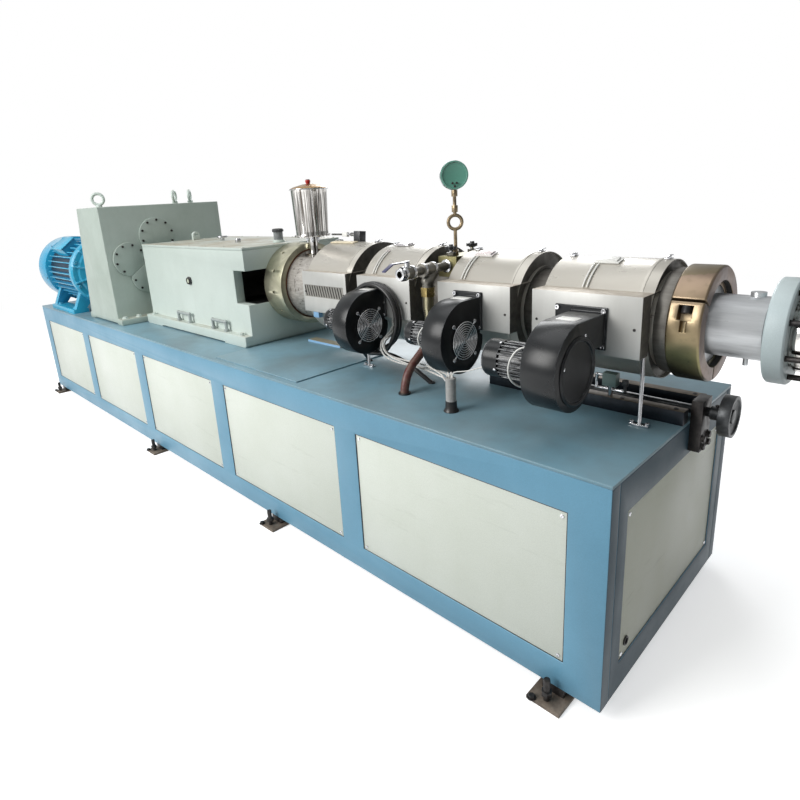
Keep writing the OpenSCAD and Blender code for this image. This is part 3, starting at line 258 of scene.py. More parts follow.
# Water hose: one length of black rubber hose for the barrel's cooling. It comes up through the
# deck, hangs in two turns over the first blower's outlet neck and goes down again behind it.
turn_r, turn_step, turn_knots = 137, 20.3, 20
water_hose_r = 10 - 0.4
turn_x, turn_y, turn_z = -1192, -156.3, 252.45
first_angle, last_angle = 62, 658
entry_points = [(280, 21, 0), (246, 10, 26), (206, 2, 52), (160, 0, 72), (110, 0, 86), (56, 0, 92),
                (0, 0, 92), (-52, 0, 105), (-92, 0, 140)]
leaving_points = [(92, -20.3, 140), (52, -20.3, 105), (0, -20.6, 92), (-52, -20, 90), (-98, -8, 92),
                  (-130, 20, 80), (-150, 52, 54), (-164, 80, 28), (-174, 101, 0)]
hose_turns = []
for k in range(2 * turn_knots + 1):
    angle = first_angle + (last_angle - first_angle) * k / (2 * turn_knots)
    lane = min(1.0, max(0.0, (angle - 330) / 60))
    a = math.radians(angle)
    x, z = turn_x - turn_r * math.sin(a), turn_z - turn_r * math.cos(a)
    hose_turns.append(at(x, turn_y - turn_step * lane, z))
coming = [at(turn_x + x, turn_y + y, z) for x, y, z in entry_points]
going = [at(turn_x + x, turn_y + y, z) for x, y, z in leaving_points]
black_rubber = rubber("black_rubber", (24, 24, 26), (40, 39, 38), 0.3)
free_cord("water_hose", coming + hose_turns + going, water_hose_r, black_rubber, "hose_black", "medium",
          "hose_coil", "hose_tails")

# Heater leads: three glass-braided leads in one loose loom. It drops from under the second duct
# box, passes through the hose's turns, lies in a long sag and climbs to the grey sleeve.
loom_points = [
    (-1122, -124, 246.7), (-1122, -124, 226), (-1121, -130, 204), (-1119, -146, 186), (-1116, -170, 174),
    (-1112, -196, 164), (-1104, -214, 146), (-1086, -222, 124), (-1052, -220, 106), (-1010, -208, 94),
    (-965, -196, 86), (-915, -188, 82), (-865, -190, 80), (-815, -206, 80), (-768, -228, 82),
    (-738, -250, 84), (-709, -277, 92), (-690, -294, 107), (-676, -307, 122), (-663, -320, 133),
    (-656, -326, 132), (-654, -328, 127), (-654, -328, 120),
]
strand_r, strands, strand_turn = 3.3, 3, 24
narrow_part, wide_part = 0.0046, 0.005
braid, tree = new_material("glass_braid")
place = object_place(tree)
weave = noise(tree, place, 420.0)
soil = between(tree, noise(tree, place, 14.0, 3.0), 0.5, 0.75, 0.0, 0.22)
threads = colour_mix(tree, between(tree, weave, 0.4, 0.62), (200, 198, 192), (252, 251, 247))
finish_off(tree, colour_mix(tree, soil, threads, (128, 120, 108)), 0.5, weave, 0.5, 0.0008)
loom_route = [at(*p) for p in loom_points]
for strand in range(strands):
    strand_route = []
    for i, point in enumerate(loom_route):
        run = (loom_route[min(i + 1, len(loom_route) - 1)] - loom_route[max(i - 1, 0)]).normalized()
        side = run.cross(Vector((0, 0, 1)) if abs(run.z) < 0.9 else Vector((1, 0, 0))).normalized()
        spread = narrow_part + wide_part * math.sin(math.pi * i / (len(loom_route) - 1))
        angle = math.radians(360 * strand / strands + strand_turn * i)
        strand_route.append(point + spread * (math.cos(angle) * side + math.sin(angle) * run.cross(side)))
    free_cord("heater_lead_%d" % (strand + 1), strand_route, strand_r, braid, "cable_white", "limp",
              "heater_leads")

# Base: a welded frame of folded steel sheet with a plate deck, sprayed in a blue-grey machine
# paint that has a fine grain. Dust lies on what faces up, and edges show paler, as wear and as a painted
# highlight.
worn_paint_and_highlight = bpy.data.node_groups.new("worn_paint_and_highlight", "ShaderNodeTree")
tree = worn_paint_and_highlight
for name in ("Paint", "Second", "Dust And Highlight", "Edge"):
    tree.interface.new_socket(name, in_out="INPUT", socket_type="NodeSocketColor")
for name, start in (("Mottle Scale", 2.5), ("Mottle", 0.5), ("Dusty", 0.3), ("Streaks", 0.2), ("Scuffs", 0.0),
                    ("Edge Wear", 0.3)):
    tree.interface.new_socket(name, in_out="INPUT", socket_type="NodeSocketFloat").default_value = start
for name, kind in (("Color", "Color"), ("Patches", "Float"), ("Height", "Float")):
    tree.interface.new_socket(name, in_out="OUTPUT", socket_type="NodeSocket" + kind)
given = tree.nodes.new("NodeGroupInput").outputs
place = object_place(tree)
facing = add(tree, "NewGeometry").outputs["Normal"]
large = noise(tree, place, given["Mottle Scale"], 6.0, 0.62)
patches = between(tree, large, 0.35, 0.68)
fine = noise(tree, place, 700.0)
colour = colour_mix(tree, worked(tree, "MULTIPLY", patches, given["Mottle"]), given["Paint"], given["Second"])
colour = colour_mix(tree, 1.0, colour, between(tree, fine, 0.3, 0.7, 0.92, 1.07), "MULTIPLY")
stretched = add(tree, "Mapping", {"Vector": place, "Scale": (9.0, 9.0, 0.6)}).outputs[0]
rubbed = add(tree, "Mapping", {"Vector": place, "Scale": (1.1, 1.1, 9.0),
                               "Rotation": (0.0, 0.09, 0.0)}).outputs[0]
runs = between(tree, noise(tree, stretched, 3.0, 4.0), 0.55, 0.8)
scuffs = between(tree, noise(tree, rubbed, 2.6, 9.0, 0.72), 0.585, 0.72)
# What faces up takes the dust colour: dust, and on the motor cowl a painted highlight.
facing_up = between(tree, add(tree, "SeparateXYZ", {0: facing}).outputs["Z"], 0.5, 1.0)
settled_dust_and_highlight = worked(tree, "MULTIPLY", facing_up, patches)
# Rounded edges show paler where chipped: wear, and a painted highlight along the edge.
rounded = add(tree, "Bevel", {"Radius": 0.004}, samples=4).outputs[0]
turned_away = add(tree, "VectorMath", {0: rounded, 1: facing}, operation="DOT_PRODUCT").outputs["Value"]
chips = between(tree, noise(tree, place, 40.0, 4.0), 0.36, 0.56)
edges = worked(tree, "MULTIPLY", between(tree, turned_away, 0.985, 0.9), chips)
worn_parts = ((runs, "Streaks", "Second"), (scuffs, "Scuffs", "Dust And Highlight"), (settled_dust_and_highlight, "Dusty", "Dust And Highlight"),
              (edges, "Edge Wear", "Edge"))
for mask, amount, over in worn_parts:
    colour = colour_mix(tree, worked(tree, "MULTIPLY", mask, given[amount]), colour, given[over])
out = tree.nodes.new("NodeGroupOutput").inputs
for name, value in (("Color", colour), ("Patches", large), ("Height", fine)):
    tree.links.new(value, out[name])


def painted(name, paint, second, rough=0.4, bump=0.12, dust_and_highlight=(150, 146, 132), edge=(205, 214, 216), **given):
    """A worn paint whose pale edges, and on some paints its dust, are also painted highlight. What else is
    given are amounts of the group, such as mottle=0.6.
    """
    material, tree = new_material(name)
    finish = tree.nodes.new("ShaderNodeGroup")
    finish.node_tree = worn_paint_and_highlight
    for key, colour in (("Paint", paint), ("Second", second), ("Dust And Highlight", dust_and_highlight), ("Edge", edge)):
        finish.inputs[key].default_value = display(colour)
    for key, value in given.items():
        finish.inputs[key.replace("_", " ").title()].default_value = value
    gloss = between(tree, finish.outputs["Patches"], 0.3, 0.7, max(rough - 0.08, 0.05), rough + 0.1)
    finish_off(tree, finish.outputs["Color"], gloss, finish.outputs["Height"], bump)
    return material


def from_deck(point):
    return Vector(((point[0] - x_die) * 1000, point[1] * 1000, (point[2] - deck_top) * 1000))


def only(made):
    bpy.ops.object.select_all(action="DESELECT")
    made.select_set(True)
    bpy.context.view_layer.objects.active = made


def dress(node, material, edge=1.5, body="machine", angle=32, parts=()):
    """Copies a CAD node, closes its loose triangles, rounds its edges and lets it stand for the node.
    Each of its parts is a second material and what says whether a face, by place and normal, has it."""
    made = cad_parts[node].copy()
    made.data = made.data.copy()
    made.name = node + "_finished"
    made.data.materials.clear()
    bpy.context.scene.collection.objects.link(made)
    made.parent = None
    made.matrix_world = Matrix.Identity(4)
    for key in list(made.keys()):
        del made[key]
    only(made)
    bpy.ops.object.mode_set(mode="EDIT")
    bpy.ops.mesh.select_all(action="SELECT")
    bpy.ops.mesh.remove_doubles(threshold=0.00002)
    bpy.ops.mesh.dissolve_limited(angle_limit=math.radians(0.6))
    bpy.ops.mesh.normals_make_consistent(inside=False)
    bpy.ops.object.mode_set(mode="OBJECT")
    if edge:
        round_off = made.modifiers.new("edges", "BEVEL")
        round_off.width = edge / 1000
        round_off.segments = 2
        round_off.limit_method = "ANGLE"
        round_off.angle_limit = math.radians(angle)
        round_off.use_clamp_overlap = True
        bpy.ops.object.modifier_apply(modifier="edges")
    bpy.ops.object.shade_smooth_by_angle(angle=math.radians(angle))
    made.data.materials.append(material)
    for number, (other, belongs) in enumerate(parts, 1):
        made.data.materials.append(other)
        for face in made.data.polygons:
            if belongs(from_deck(face.center), face.normal):
                face.material_index = number
    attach(made, body)
    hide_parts(node)


base_paint = painted("base_blue_paint", (108, 162, 190), (98, 146, 172), 0.42, 0.25, mottle=0.6, dusty=0.35,
                     streaks=0.12, edge_wear=0.3)
deck_paint = painted("deck_paint", (120, 158, 174), (110, 142, 154), 0.36, 0.2, (112, 106, 96),
                     (214, 226, 232), mottle=0.8, dusty=0.35, streaks=0.0, scuffs=0.35, edge_wear=0.6)
# The end faces of the frame take a darker copy of the blue: painted shade on the ends.
end_face_shade_paint = painted("base_end_painted_shade", (44, 72, 86), (38, 62, 74), 0.5, 0.25, mottle=0.6, dusty=0.35,
                    streaks=0.12, edge_wear=0.4)
panel_paint = painted("panel_cream_paint", (224, 230, 221), (212, 219, 206), 0.42, 0.12, (186, 193, 180),
                      (246, 248, 246), mottle=0.5, dusty=0.0, streaks=0.2, scuffs=0.3, edge_wear=0.6)
# The end panels take a paler, more beige copy of the panel cream: the beige tone is theirs, and the extra
# paleness is painted light on that shaded side.
end_panel_painted_light = painted("end_panel_painted_light", (240, 243, 224), (230, 232, 208), 0.42, 0.12, (196, 198, 176),
                          (250, 250, 246), mottle=0.6, dusty=0.0, streaks=0.3, scuffs=0.4, edge_wear=0.6)
for node in ("frame_front", "frame_back", "frame_ends"):
    dress(node, base_paint, 3, parts=((end_face_shade_paint, lambda place, normal: abs(normal.x) > 0.7),))
dress("deck", deck_paint, 2)
dress("panels_front", panel_paint, 1.2)
dress("panels_back", panel_paint, 1.2)
dress("panels_ends", end_panel_painted_light, 1.2)

# Panel screws and shade strips: a plated pan-head screw with a sunk recess in each corner of a panel,
# and a thin dark strip all round it, between its edge and the frame, that paints the shadow in its rebate.
base_l, base_w = 5090, 990
post_w, mullion_w, bays, end_bay = 120, 125, 5, 770
sill_up, band_down = 620, 120
panel_face, screw_inset, shade_strip_w = 4, 17, 3
bay_w = (base_l - 2 * post_w - (bays - 1) * mullion_w) / bays
to_top, to_die, to_motor, to_front, to_back = (0, 0, 1), (1, 0, 0), (-1, 0, 0), (0, -1, 0), (0, 1, 0)


def standing(place, normal, spin=0.0, size=1.0, height=1.0):
    """The place, turn and size of what stands on a surface, and what share of its height shows."""
    turn = Vector(normal).to_track_quat("Z", "Y").to_matrix().to_4x4()
    spun = Matrix.Rotation(math.radians(spin), 4, "Z")
    return Matrix.Translation(at(*place)) @ turn @ spun @ Matrix.Diagonal((size, size, size * height, 1))


def turned(name, outline, sides=24, place=None):
    """Turns a solid about Z from its outline, a list of radii and heights in millimetres."""
    (r, z), rest = outline[0], outline[1:]
    bpy.ops.object.select_all(action="DESELECT")
    bpy.ops.mesh.primitive_circle_add(vertices=sides, radius=r / 1000, fill_type="NGON",
                                      location=(0, 0, z / 1000))
    made = bpy.context.object
    made.name = name
    bpy.ops.object.transform_apply(location=True)
    bpy.ops.object.mode_set(mode="EDIT")
    bpy.ops.mesh.select_mode(type="FACE")
    bpy.ops.mesh.select_all(action="SELECT")
    for next_r, next_z in rest:
        bpy.ops.mesh.extrude_region_move(TRANSFORM_OT_translate={"value": (0, 0, (next_z - z) / 1000)})
        bpy.ops.transform.resize(value=(next_r / r, next_r / r, 1), center_override=(0, 0, next_z / 1000))
        r, z = next_r, next_z
    bpy.ops.mesh.select_all(action="SELECT")
    bpy.ops.mesh.normals_make_consistent(inside=False)
    bpy.ops.object.mode_set(mode="OBJECT")
    bpy.ops.object.shade_smooth_by_angle(angle=math.radians(35))
    if place:
        made.data.transform(place)
    return made


def block(name, low, high, edge=0.6, place=None):
    """Shapes a cube to a block between two corners, in millimetres, and bevels its edges."""
    size = [(b - a) / 1000 for a, b in zip(low, high)]
    middle = [(a + b) / 2000 for a, b in zip(low, high)]
    bpy.ops.object.select_all(action="DESELECT")
    bpy.ops.mesh.primitive_cube_add(size=1, location=(0, 0, 0))
    made = bpy.context.object
    made.name = name
    bpy.ops.object.mode_set(mode="EDIT")
    bpy.ops.mesh.select_all(action="SELECT")
    bpy.ops.transform.resize(value=size, center_override=(0, 0, 0))
    bpy.ops.transform.translate(value=middle)
    bpy.ops.mesh.bevel(offset=edge / 1000, segments=2, affect="EDGES")
    bpy.ops.object.mode_set(mode="OBJECT")
    bpy.ops.object.shade_smooth_by_angle(angle=math.radians(35))
    if place:
        made.data.transform(place)
    return made


def joined(name, made):
    bpy.ops.object.select_all(action="DESELECT")
    for piece in made:
        piece.select_set(True)
    bpy.context.view_layer.objects.active = made[0]
    if len(made) > 1:
        bpy.ops.object.join()
    made[0].name = name
    return made[0]


def seated(made, material, body="machine"):
    made.data.materials.clear()
    made.data.materials.append(material)
    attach(made, body)
    return made


def copied(pattern, place):
    made = pattern.copy()
    made.data = pattern.data.copy()
    made.data.transform(place)
    bpy.context.scene.collection.objects.link(made)
    return made


def set_out(pattern, name, places, material, body="machine"):
    """Copies a finished pattern to each of its places and joins the copies to one piece."""
    seated(joined(name, [copied(pattern, place) for place in places]), material, body)


def bare_metal(name, light, dark, rough=0.4, metallic=0.9, scale=(8.0, 8.0, 8.0), contrast=0.6, bump=0.1):
    material, tree = new_material(name)
    drawn = add(tree, "Mapping", {"Vector": object_place(tree), "Scale": scale}).outputs[0]
    patch = noise(tree, drawn, 3.0, 6.0, 0.6)
    mixed = colour_mix(tree, between(tree, patch, 0.5 - contrast / 3, 0.5 + contrast / 3), dark, light)
    gloss = between(tree, patch, 0.3, 0.7, rough + 0.1, max(rough - 0.08, 0.03))
    finish_off(tree, mixed, gloss, noise(tree, drawn, 60.0, 3.0), bump, metallic=metallic)
    return material


def panel_shade_strips(low, high, across, place):
    """Four thin dark strips round a panel, as painted shadow in its rebate, between two corners, given along
    and up.
    """
    (a, z0), (b, z1), (out, thick) = low, high, across
    sides = ((a, z0, b, z0 + shade_strip_w), (a, z1 - shade_strip_w, b, z1), (a, z0, a + shade_strip_w, z1),
             (b - shade_strip_w, z0, b, z1))
    return joined("panel_shade_strips", [
        block("strip", (p, out, q), (r, out + thick, t), 0.4, place) for p, q, r, t in sides
    ])


bright_steel = bare_metal("bright_steel", (228, 228, 230), (176, 178, 182), 0.16, 1.0)
pan_outline = [(6, 0), (6.5, 1), (6, 2.6), (4, 3.8), (2.2, 4.0), (2.0, 2.4), (0.4, 2.2)]
pan_screw = turned("pan_screw", pan_outline, 16)
corners, rebate_shade_strips = [], []
from_end = Matrix.Translation(at(0, 0, 0))
heights = (-sill_up + screw_inset, -band_down - screw_inset)
for i in range(bays):
    left = -base_l + post_w + i * (bay_w + mullion_w)
    for face in (-base_w / 2 + panel_face - 1, base_w / 2 - panel_face):
        rebate_shade_strips.append(panel_shade_strips((left, -sill_up), (left + bay_w, -band_down), (face, 1), from_end))
    for x in (left + screw_inset, left + bay_w - screw_inset):
        for z in heights:
            corners.append(standing((x, -base_w / 2 + panel_face, z), to_front))
            corners.append(standing((x, base_w / 2 - panel_face, z), to_back))
for x in (-panel_face, -base_l + panel_face - 1):
    across = Matrix.Rotation(math.radians(90), 4, "Z") @ Matrix.Translation((0, -0.001, 0))
    rebate_shade_strips.append(panel_shade_strips((-end_bay / 2, -sill_up), (end_bay / 2, -band_down), (0, 1),
                              from_end @ Matrix.Translation((x / 1000, 0, 0)) @ across))
for y in (-end_bay / 2 + screw_inset, end_bay / 2 - screw_inset):
    for z in heights:
        corners.append(standing((-panel_face, y, z), to_die))
        corners.append(standing((-base_l + panel_face, y, z), to_motor))
seated(joined("panel_rebate_shade", rebate_shade_strips), black_rubber)
set_out(pan_screw, "panel_screws", corners, bright_steel)

# Grommets: black rubber rings where hoses pass the deck, and one in the corner of the end panel
# for a supply cable, all pressed into their holes.
grommet_outline = [(24, 0), (25, 2), (24, 6), (21, 7.5), (17.2, 6), (16.8, 0.4)]
small_outline = [(15, 0), (15.5, 1.5), (15, 4), (13, 5), (10, 4), (9.8, 0.4)]
cable_hole = (-panel_face, -339, -574)
hose_foot = (vent_x + hose_points[-1][0], tee_y + hose_points[-1][1], 0)
seated(turned("vacuum_hose_grommet", grommet_outline, 32, standing(hose_foot, to_top)),
       black_rubber)
seated(joined("water_hose_grommets", [
    turned("grommet", small_outline, 28, standing((turn_x + x, turn_y + y, 0), to_top))
    for x, y, z in (entry_points[0], leaving_points[-1])
]), black_rubber)
seated(turned("end_panel_grommet", small_outline, 28, standing(cable_hole, to_die)),
       black_rubber)

# Cover plate: a loose steel plate on the deck over the pipe pit, painted with the deck, with a
# packer of tan board edged in light blue and held by one black bolt.
tan_board = painted("tan_board", (150, 144, 122), (128, 122, 104), 0.6, 0.4, edge_wear=0.2)
light_blue = painted("light_blue_edge", (134, 178, 214), (112, 156, 196), 0.45, edge_wear=0.2)
dress("deck_cover", deck_paint, 1.5, parts=(
    (tan_board, lambda place, normal: place.z > 6.5),
    (light_blue, lambda place, normal: place.z > 6.5 and normal.y < -0.7),
))

# Levelling feet: flame-cut steel pads with packers and jack bolts, dirty from the floor. The same
# hex bolt, with its washer, holds the packer on the cover plate.
floor_down = -760
black_steel = bare_metal("black_steel", (72, 68, 66), (26, 26, 28), 0.42, 0.6)
pad_steel = bare_metal("dirty_pad_steel", (132, 120, 108), (86, 76, 66), 0.6, 0.3)
dress("levelling_feet", black_steel, 1, parts=(
    (pad_steel, lambda place, normal: place.z < floor_down + 13 and abs(place.y) > 495),
))
hex_head = turned("hex_head", [(11, 0), (11, 6.6), (9.6, 8), (0.5, 8)], 6, Matrix.Translation((0, 0, 0.0022)))
hex_bolt = joined("hex_bolt", [hex_head, turned("washer", [(14, 0), (14, 2.2), (13.2, 2.8), (9, 2.8)])])
pads = [(-d, s * 545, floor_down + 12) for d in (150, 1630, 2966, 4960) for s in (-1, 1)]
pad_nuts = [standing(place, to_top, 12) @ Matrix.Translation((0.038, 0, 0)) for place in pads]
set_out(hex_bolt, "pad_nuts", pad_nuts, black_steel)
set_out(hex_bolt, "packer_bolt", [standing((-1634, 26, 6), to_top, 20)], black_steel)

# Motor: a cast-iron finned frame on feet with a ribbed end bell, all in a bright blue enamel.
# Hex bolts hold its feet and its end bell, and four small screws the lid of its terminal box.
motor_side, motor_up = -185, 300
foot_x, foot_side, foot_top = (-4765, -4385), 244, 32
bell_face, bell_bolts_r = -4250, 236
box_x, box_half, box_top = (-4746, -4484), 70, 293
motor_paint = painted("motor_blue_enamel", (44, 176, 214), (24, 146, 190), 0.28, 0.3, (110, 150, 160),
                      (168, 226, 244), mottle=0.6, dusty=0.25, streaks=0.15, edge_wear=0.9)
# The fins' sides and the roots between them take darker copies of the enamel: painted shade between the fins.
fin_side_shade = painted("motor_fin_side_painted_shade", (24, 138, 182), (12, 100, 146), 0.4, edge=(150, 216, 238), edge_wear=0.9)
fin_root_shade = painted("motor_fin_root_painted_shade", (6, 44, 66), (4, 32, 48), 0.5, edge_wear=0.0)


def motor_out(place):
    return math.hypot(place.y - motor_side, place.z - motor_up)


def on_fin_side(place, normal):
    away = Vector((0, place.y - motor_side, place.z - motor_up)).normalized()
    return 222 < motor_out(place) < 256 and -4850 < place.x < -4300 and abs(normal.dot(away)) < 0.5


def round_axis(x, y, z, radius, count, start=0.0):
    """Places evenly round an axis along the machine, each with its way out and its angle in degrees."""
    made = []
    for k in range(count):
        degrees = start + 360 * k / count
        out = (0, math.cos(math.radians(degrees)), math.sin(math.radians(degrees)))
        made.append(((x, y + radius * out[1], z + radius * out[2]), out, degrees))
    return made


dress("motor", motor_paint, 1, parts=(
    (fin_root_shade, lambda place, normal: motor_out(place) < 226.5 and -4860 < place.x < -4300
     and abs(normal.x) < 0.3),
    (fin_side_shade, on_fin_side),
))
motor_bolts = [standing((x, motor_side + s * foot_side, foot_top), to_top, 15, 1.35)
               for x in foot_x for s in (-1, 1)]
for k, (place, out, degrees) in enumerate(round_axis(bell_face, motor_side, motor_up, bell_bolts_r, 8, 22.5)):
    motor_bolts.append(standing(place, to_die, 10 * k))
set_out(hex_bolt, "motor_bolts", motor_bolts, motor_paint)
box_turn = Matrix.Translation(at(0, motor_side, motor_up)) @ Matrix.Rotation(math.radians(38), 4, "X")
seated(block("terminal_lid", (box_x[0], -box_half, box_top - 7), (box_x[1], box_half, box_top), 2, box_turn),
       motor_paint)
lid_screws = [box_turn @ Matrix.Translation((x / 1000, y / 1000, box_top / 1000))
              for x in (box_x[0] + 14, box_x[1] - 14) for y in (13 - box_half, box_half - 13)]
set_out(pan_screw, "terminal_lid_screws", lid_screws, motor_paint)

# Motor cowl: a pressed steel cowl over the fan, with rings of slots in its end and six screws.
# It is a shade darker than the motor, and its upward faces are painted pale as a highlight.
cowl_end, cowl_r = -5160, 268
cowl_paint_and_highlight = painted("motor_cowl_enamel_and_highlight", (36, 168, 212), (24, 146, 192), 0.25, 0.12, (196, 216, 224),
                     (200, 232, 242), mottle=0.5, dusty=0.95, streaks=0.1, edge_wear=0.5)
dress("motor_cowl", cowl_paint_and_highlight, 3)
seated(turned("cowl_end_plate", [(186, 0), (186, 1.6), (20, 1.6)], 48,
              standing((cowl_end, motor_side, motor_up), to_motor)), motor_paint)
slot_hole = turned("slot_hole", [(7, 0), (7, 0.8), (6.4, 1.2)], 12)
only(slot_hole)
bpy.ops.object.mode_set(mode="EDIT")
bpy.ops.mesh.select_all(action="SELECT")
bpy.ops.transform.resize(value=(1.7, 1, 1), center_override=(0, 0, 0))
bpy.ops.object.mode_set(mode="OBJECT")
# The slots are dark ovals laid on the end: painted shade for the holes.
slots = [standing(place, to_motor, -degrees)
         for ring_r, count in ((62, 12), (92, 18), (122, 24), (152, 30))
         for place, out, degrees in round_axis(cowl_end - 1.8, motor_side, motor_up, ring_r, count)]
set_out(slot_hole, "cowl_slots", slots, black_steel)
cowl_screws = [standing(place, out) for place, out, degrees
               in round_axis(-4916, motor_side, motor_up, cowl_r, 6, 12)]
set_out(pan_screw, "cowl_screws", cowl_screws, black_steel)
dress("motor_coupling", black_steel, 2)

# Reducer: a tall cast housing with bolted bearing covers, filled, rubbed down and sprayed in
# a pale grey-green that picks up oil and dust. Its foot is bolted to the deck.
gear_paint = painted("gear_green_paint", (203, 215, 209), (188, 200, 193), 0.38, 0.5, (158, 146, 126),
                     (234, 241, 238), mottle=0.6, dusty=0.6, streaks=0.3, edge_wear=0.6)
# The reducer and its covers take a darker copy of the gear case's green: painted shade.
reducer_shaded_paint = painted("reducer_green_painted_shade", (178, 191, 183), (160, 173, 164), 0.4, 0.6, (150, 140, 120),
                        (228, 236, 232), mottle=0.7, dusty=0.6, streaks=0.4, edge_wear=0.6, mottle_scale=4.0)
dress("reducer", reducer_shaded_paint, 6)
dress("reducer_covers", reducer_shaded_paint, 2)
dress("lifting_eyes", gear_paint, 0)
cap_screw = turned("cap_screw", [(7.5, 0), (7.5, 6.2), (6.9, 7), (3.8, 7), (3.6, 2.5), (0.4, 2.4)], 20)
covers = ((-70, 570, 125, 10), (-280, 430, 112, 9), (motor_side, motor_up, 104, 8))
cover_face = -3480 + 16
cover_screws = []
for i, (y, z, r, count) in enumerate(covers):
    others = [c for c in covers if c[:2] != (y, z)]
    for place, out, degrees in round_axis(cover_face, y, z, r - 17, count, 14 + 20 * i):
        if all(math.hypot(place[1] - c[0], place[2] - c[1]) > c[2] + 2 for c in others):
            cover_screws.append(standing(place, to_die))
set_out(cap_screw, "cover_screws", cover_screws, black_steel)
anchors = [standing((-3444, y, 40), to_top, 20, 1.5) for y in (-392, -300, -150, 150, 300, 392)]
set_out(hex_bolt, "reducer_bolts", anchors, gear_paint)

# Gear case: a welded and machined box under the same paint, its lid held by sunk cap screws.
# The inside of the lantern at its die end is painted near-black as shade, and so is the inner edge of each
# ledge.
barrel_low, barrel_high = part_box("barrel")
axis_y = 500 * (barrel_low.y + barrel_high.y)
axis_up = 500 * (barrel_low.z + barrel_high.z) - 1000 * deck_top
case_back, case_front, lid_top, lid_inset = -3375, -2100, 524.5, 22
lantern_shade = rubber("lantern_painted_shade", (14, 14, 13), (26, 24, 22), 0.5)
ledge_paint_and_shade = painted("lantern_ledge_paint_and_shade", (203, 215, 209), (188, 200, 193), 0.38, 0.5)


def overlaid(material, mask, colour):
    """Lays a colour over a material's own, where the mask is 1."""
    tree = material.node_tree
    base_colour = tree.nodes["Principled BSDF"].inputs["Base Color"]
    tree.links.new(colour_mix(tree, mask, base_colour.links[0].from_socket, colour), base_colour)


def own_place(material):
    tree = material.node_tree
    return tree, add(tree, "SeparateXYZ", {0: object_place(tree)}).outputs


def in_lantern(place):
    return -2351 < place.x < -2099.5 and abs(place.y - axis_y) < 320 and 225 < place.z < 405


# A band at the ledges' inner edges is painted near-black as shade.
tree, spot = own_place(ledge_paint_and_shade)
from_middle = worked(tree, "ABSOLUTE", worked(tree, "SUBTRACT", spot["Y"], axis_y / 1000))
overlaid(ledge_paint_and_shade, between(tree, from_middle, 0.285, 0.272), (16, 16, 15))
dress("gear_case", gear_paint, 3, parts=(
    (lantern_shade, lambda place, normal: in_lantern(place) and abs(place.y - axis_y) < 284 and place.x < -2101),
    (ledge_paint_and_shade, lambda place, normal: in_lantern(place) and abs(normal.z) > 0.9),
))
lid_paint = painted("oily_lid_paint", (196, 202, 194), (176, 178, 166), 0.36, 0.5, (158, 146, 124),
                    (230, 238, 234), mottle=0.8, dusty=0.9, scuffs=0.4, edge_wear=0.6, mottle_scale=5.0)
dress("gear_case_lid", lid_paint, 2, parts=(
    (gear_paint, lambda place, normal: normal.z < 0.6),
))
lid_pitch = (case_front - case_back - 2 * lid_inset) / 6
lid_places = [(case_back + lid_inset + k * lid_pitch, s * 303) for k in range(7) for s in (-1, 1)]
lid_places += [(x, y) for x in (case_back + lid_inset, case_front - lid_inset) for y in (-120, 120)]
sunk_screws = [standing((x, axis_y + y, lid_top), to_top, height=0.5) for x, y in lid_places]
set_out(cap_screw, "lid_screws", sunk_screws, lid_paint)
case_bolts = [standing((x, axis_y + s * 348, 60), to_top, 10, 1.3) for x in (-3300, -2170) for s in (-1, 1)]
set_out(hex_bolt, "gear_case_bolts", case_bolts, gear_paint)

# Gear case fittings: a ribbed plastic breather with a dark cap, a plated vent and plug, a painted
# lug, and an oil sight glass in a dark ring. Two grey oil pipes bend over the foot.
breather_x, breather_y, breather_z, cap_z = -2225, 90, 540, 583
rib_pitch, rib_r, rib_root = 4.6, 27.2, 25.2
smoke_plastic = painted("smoke_plastic", (150, 154, 156), (112, 116, 118), 0.25, edge_wear=0.2)
dark_plastic = painted("dark_plastic", (44, 46, 50), (58, 58, 60), 0.4, edge_wear=0.2)
dress("gear_case_fittings", bright_steel, 1.5, parts=(
    (smoke_plastic, lambda place, normal: place.x > -2262 and breather_z - 0.5 < place.z < cap_z),
    (dark_plastic, lambda place, normal: place.x > -2262 and place.z >= cap_z - 0.1),
    (gear_paint, lambda place, normal: (place.x > -2262 and place.z < breather_z - 0.5) or place.x < -3250),
    (dark_plastic, lambda place, normal: place.y < -200),
))
ribs = [(rib_root, 0)]
for k in range(9):
    low = rib_pitch * k
    ribs += [(rib_root, low + 1), (rib_r, low + 2), (rib_r, low + 3.4), (rib_root, low + 4.4)]
on_breather, on_cap = (standing((breather_x, breather_y, z), to_top) for z in (breather_z, cap_z))
seated(turned("breather_body", ribs, 32, on_breather), smoke_plastic)
seated(turned("breather_cap", [(31.5, 0), (32, 3), (31.5, 13), (28, 17), (12, 18.5)], 32, on_cap),
       dark_plastic)
oil_glass = painted("oil_glass", (206, 214, 196), (176, 184, 150), 0.08, edge_wear=0.0)
on_glass = standing((-2740, -235, 320), to_front)
seated(turned("sight_glass_ring", [(21, 0), (21, 4), (19, 6.5), (14.5, 6.5), (13.5, 3)], 32, on_glass),
       black_steel)
seated(turned("sight_glass", [(14, 0), (14, 3.4), (10, 4.6), (4, 5)], 28, on_glass), oil_glass)
pipe_grey = painted("oil_pipe_grey", (172, 180, 178), (132, 140, 138), 0.35, edge_wear=0.4)
dress("oil_pipes", pipe_grey, 0)
dress("screw_couplings", black_steel, 2)

